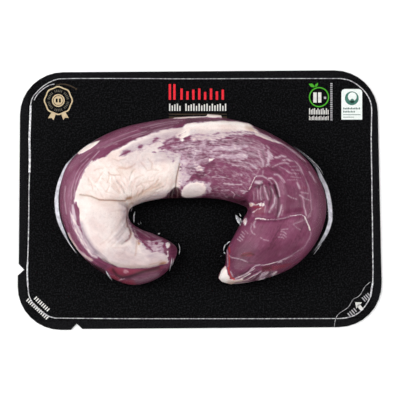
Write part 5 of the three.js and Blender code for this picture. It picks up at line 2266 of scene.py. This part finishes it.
def disc(middle: Pixel, radius: float, sides: int = 28, wave: float = 0.0, waves: int = 0) -> Loop:
    """Shapes a disc, with a wavy edge if asked.

    Args:
        middle: its middle, in pixels.
        radius: its radius, in pixels.
        sides: how many points its edge has.
        wave: how far the edge waves in and out.
        waves: how many times.

    Returns:
        Its edge.
    """
    loop = []
    for k in range(sides):
        angle = 2 * math.pi * k / sides
        reach = radius + wave * math.cos(waves * angle)
        loop.append((middle[0] + reach * math.cos(angle), middle[1] + reach * math.sin(angle)))
    return loop


def strokes(
    left: float, right: float, top: float, bottom: float, count: int, share: float, level: bool = False
) -> list[tuple[Loop, ...]]:
    """A row of plain upright bars, for a line of print.

    Args:
        left: where the row starts, like all its places in pixels.
        right: where it ends.
        top: the tallest bars' top.
        bottom: the bars' foot.
        count: how many bars.
        share: a bar's width as a share of its pitch.
        level: whether all bars are as tall.

    Returns:
        The bars, each as a shape.
    """
    pitch = (right - left) / count
    rows = []
    for k in range(count):
        lower = 0 if level else (0.0, 0.25, 0.1, 0.0, 0.3)[k % 5] * (bottom - top)
        rows.append((bar(left + k * pitch, top + lower, left + (k + share) * pitch, bottom),))
    return rows


def spoke(middle: Pixel, start: float, end: float, angle: float, width: float) -> Loop:
    """Shapes a short bar that points out from a middle.

    Args:
        middle: the middle, in pixels.
        start: how far out the bar starts.
        end: how far out it ends.
        angle: where it points, in radians.
        width: its width.

    Returns:
        Its corners.
    """
    x, y = math.cos(angle), math.sin(angle)
    ends = [(middle[0] + reach * x, middle[1] + reach * y) for reach in (start, end)]
    return leaning_bar(ends[0], ends[1], width)


def slant(start: Pixel, end: Pixel, count: int, half: float, width: float) -> list[tuple[Loop, ...]]:
    """A row of plain bars across a leaning line, for print at the card's corners.

    Args:
        start: the line's first pixel.
        end: its last.
        count: how many bars.
        half: half a bar's length.
        width: a bar's width.

    Returns:
        The bars, each as a shape.
    """
    rows = []
    angle = math.atan2(end[1] - start[1], end[0] - start[0]) + math.pi / 2
    for share in np.linspace(0, 1, count):
        middle = (start[0] + (end[0] - start[0]) * share, start[1] + (end[1] - start[1]) * share)
        rows.append((spoke(middle, -half, half, angle, width),))
    return rows


@dataclass(frozen=True)
class Print:
    """One ink on the card: shapes as an edge and its holes, in pixels."""

    name: str
    ink: str
    second: str
    shapes: tuple[tuple[Loop, ...], ...]
    level: float = 1.06


def card_prints() -> tuple[Print, ...]:
    """Draws the print's plain shapes: rosette, title and line, green ring, white label, arrow.

    Returns:
        The inks, from the lowest to the topmost.
    """
    rosette = (57.8, 100)
    gold = (
        (disc(rosette, 14.15, 64, 0.45, 8), disc(rosette, 12.85, 64, 0.4, 8)),
        (disc(rosette, 6.4, 30), disc(rosette, 5.2, 30)),
        (disc(rosette, 4.6, 30), bar(55.2, 98, 57.2, 102), bar(58.4, 98, 60.4, 102)),
        ([(51, 111.8), (55.4, 113.4), (53, 119.6), (51.2, 117.4), (47.6, 117.8)],),
        ([(60.6, 113.2), (65, 111.8), (68.2, 117.4), (64.4, 117.2), (62.8, 119.6)],),
    )
    grey = tuple((spoke(rosette, 8.5, 10.8, 2 * math.pi * k / 36, 0.75),) for k in range(36) if k % 6)
    title = (
        *strokes(168.2, 177.4, 83.6, 99.2, 2, 0.5, level=True),
        *strokes(179.9, 227, 88, 99.2, 8, 0.4),
    )
    white = (
        *strokes(168.6, 181.4, 103.2, 110.4, 5, 0.5),
        *strokes(184.8, 227, 103.2, 110.4, 16, 0.5),
        *strokes(312.8, 322.2, 91.9, 102.1, 2, 0.72, level=True),
        *strokes(308.6, 328.8, 107.8, 113.9, 12, 0.56),
        *strokes(308.6, 328.8, 115.3, 119.6, 14, 0.5),
        *slant((35, 297.6), (47.6, 309.4), 8, 1.9, 1.2),
        *slant((27.2, 299.4), (46.6, 317.4), 12, 1.9, 1.25),
        ([(354.7, 301.7), (361.6, 301.9), (355.8, 308)],),
        (leaning_bar((357.6, 304.4), (361.9, 309.6), 3.4),),
    )
    small = (
        *((bar(329.8, y, 332, y + 1.2),) for y in np.arange(82.6, 119.4, 1.9)),
        (bar(323.4, 96.2, 325.6, 98.4),),
        *slant((348.6, 314.4), (354.6, 309.6), 4, 2.3, 1.15),
        *slant((363.2, 299), (368.6, 294.6), 4, 2.6, 1.15),
    )
    green = (
        (disc((318.5, 96.6), 10.1, 40), disc((318.5, 96.6), 8.9, 40)),
        ([(308.2, 83.3), (311.6, 83), (314.5, 85.8), (313.4, 87), (310.4, 86.2)],),
        ([(314.6, 86.4), (314.8, 84), (317.5, 82.2), (317.3, 84.8), (315.8, 86.4)],),
    )
    label = (
        (
            [
                (340.9, 119.1), (340.9, 91.4), (341.9, 89.4), (344, 88.5), (358.6, 88.5), (360.7, 89.4),
                (361.7, 91.4), (361.7, 119.1),
            ],
        ),
    )
    emblem = (
        (disc((351.3, 97.8), 6.9, 30), disc((351.8, 96.2), 4.4, 24)),
        (disc((351.7, 100.4), 2.1, 16),),
    )
    lines = (
        *strokes(342.8, 360, 107, 108.9, 11, 0.66),
        *strokes(342.8, 354.8, 110.2, 112, 8, 0.66),
        (bar(342.8, 113.9, 360, 114.5),),
        (bar(342.8, 116.3, 353.6, 116.9),),
    )
    dim = (
        (bar(168.5, 113.2, 226.4, 114.4),),
        (bar(168.5, 115.9, 226.4, 117.8),),
        (
            [
                (55, 84.2), (60, 83.1), (65, 83.2), (70, 84.6), (74.4, 87), (75.2, 88.2), (72.6, 87.4),
                (69, 85.6), (64.6, 84.3), (60, 84.2), (56, 85.2),
            ],
        ),
        (disc((75.6, 88.6), 1.1, 12),),
    )
    return (
        Print("print_gold", "#BFA985", "#CDBA98", gold),
        Print("print_grey", "#6B6659", "#565248", grey),
        Print("print_red", "#EC2A38", "#D8222F", title),
        Print("print_white", "#E4E2DE", "#D2D0CC", white),
        Print("print_small", "#B4B1B5", "#9A989C", small),
        Print("print_green", "#3E9A1C", "#49A92A", green),
        Print("label_white", "#EEF2EF", "#E4EBE7", label),
        Print("label_green", "#3A6C5D", "#497D6F", emblem, 1.12),
        Print("label_lines", "#3F5F55", "#4E6E64", lines, 1.12),
        Print("print_dim", "#3F3021", "#2A2118", dim),
    )


def lay_print(layer: Print, sight: Sight) -> None:
    """Makes one ink's flat shapes on the card.

    Args:
        layer: the ink and its shapes.
        sight: the photograph's eye.
    """
    points: list[np.ndarray] = []
    faces: list[tuple[int, ...]] = []
    for shape in layer.shapes:
        loops = [np.array([sight.on_level(pixel, layer.level) for pixel in loop]) for loop in shape]
        faces += flat_faces(loops, len(points))
        points += [place for loop in loops for place in loop]
    finish = plain_print(layer.name, layer.ink, layer.second)
    take_in(build_object(layer.name, np.array(points), faces, finish), "card")


# The studio


@dataclass(frozen=True)
class Softbox:
    """A large soft light: where it hangs and its size in metres, its power in watts."""

    name: str
    place: tuple[float, float, float]
    size: tuple[float, float]
    power: float
    colour: str = "#FFFFFF"


SOFTBOXES = (
    Softbox("left_softbox", (-0.8, 0.1, 0.85), (0.6, 1.2), 12.3),
    Softbox("right_softbox", (0.8, 0.1, 0.85), (0.6, 1.2), 7.6),
    Softbox("front_softbox", (0.0, -0.95, 0.7), (1.2, 0.5), 2.6),
    Softbox("left_strip", (-1.0, 0.0, 0.4), (0.5, 2.0), 5.0),
    Softbox("right_strip", (1.0, 0.0, 0.4), (0.5, 2.0), 3.6),
)


FLOOR_HALF = 3000


def build_studio() -> None:
    """Lights, the white floor and the dim surroundings."""
    for box in SOFTBOXES:
        data = bpy.data.lights.new(box.name, "AREA")
        data.shape = "RECTANGLE"
        data.size, data.size_y = box.size
        data.energy = box.power
        data.color = linear(box.colour)[:3]
        lamp = bpy.data.objects.new(box.name, data)
        lamp.location = box.place
        lamp.rotation_euler = (-Vector(box.place)).to_track_quat("-Z", "Y").to_euler()
        bpy.context.scene.collection.objects.link(lamp)

    corners = np.array([(-1, -1, 0), (1, -1, 0), (1, 1, 0), (-1, 1, 0)], float) * FLOOR_HALF
    paper = plain_print("white_paper", "#FFFFFF", "#FDFDFD", 0.2)
    build_object("white_floor", corners, [(0, 1, 2, 3)], paper)

    world = bpy.data.worlds.new("studio_air")
    world.use_nodes = True
    world.node_tree.nodes["Background"].inputs["Color"].default_value = (1, 1, 1, 1)
    world.node_tree.nodes["Background"].inputs["Strength"].default_value = 0.02
    bpy.context.scene.world = world
    bpy.context.scene.view_settings.view_transform = "Standard"


def main() -> None:
    """Builds the pack, its studio and its camera."""
    logging.basicConfig(level=logging.INFO, format="%(name)s: %(message)s")
    sight = Sight()
    sight.camera()
    build_studio()

    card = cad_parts["card"]
    card.data.materials.clear()
    card.data.materials.append(black_board())

    meat = Tenderloin(sight)
    body = meat.build()
    lay_membranes(body, sight)
    film = SkinFilm(meat).build()
    SealLine().build(sight)
    lay_glints(film, sight)
    for layer in card_prints():
        lay_print(layer, sight)
    for node in ("tenderloin", "skin_film"):
        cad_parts[node].hide_render = True


if __name__ == "__main__":
    main()
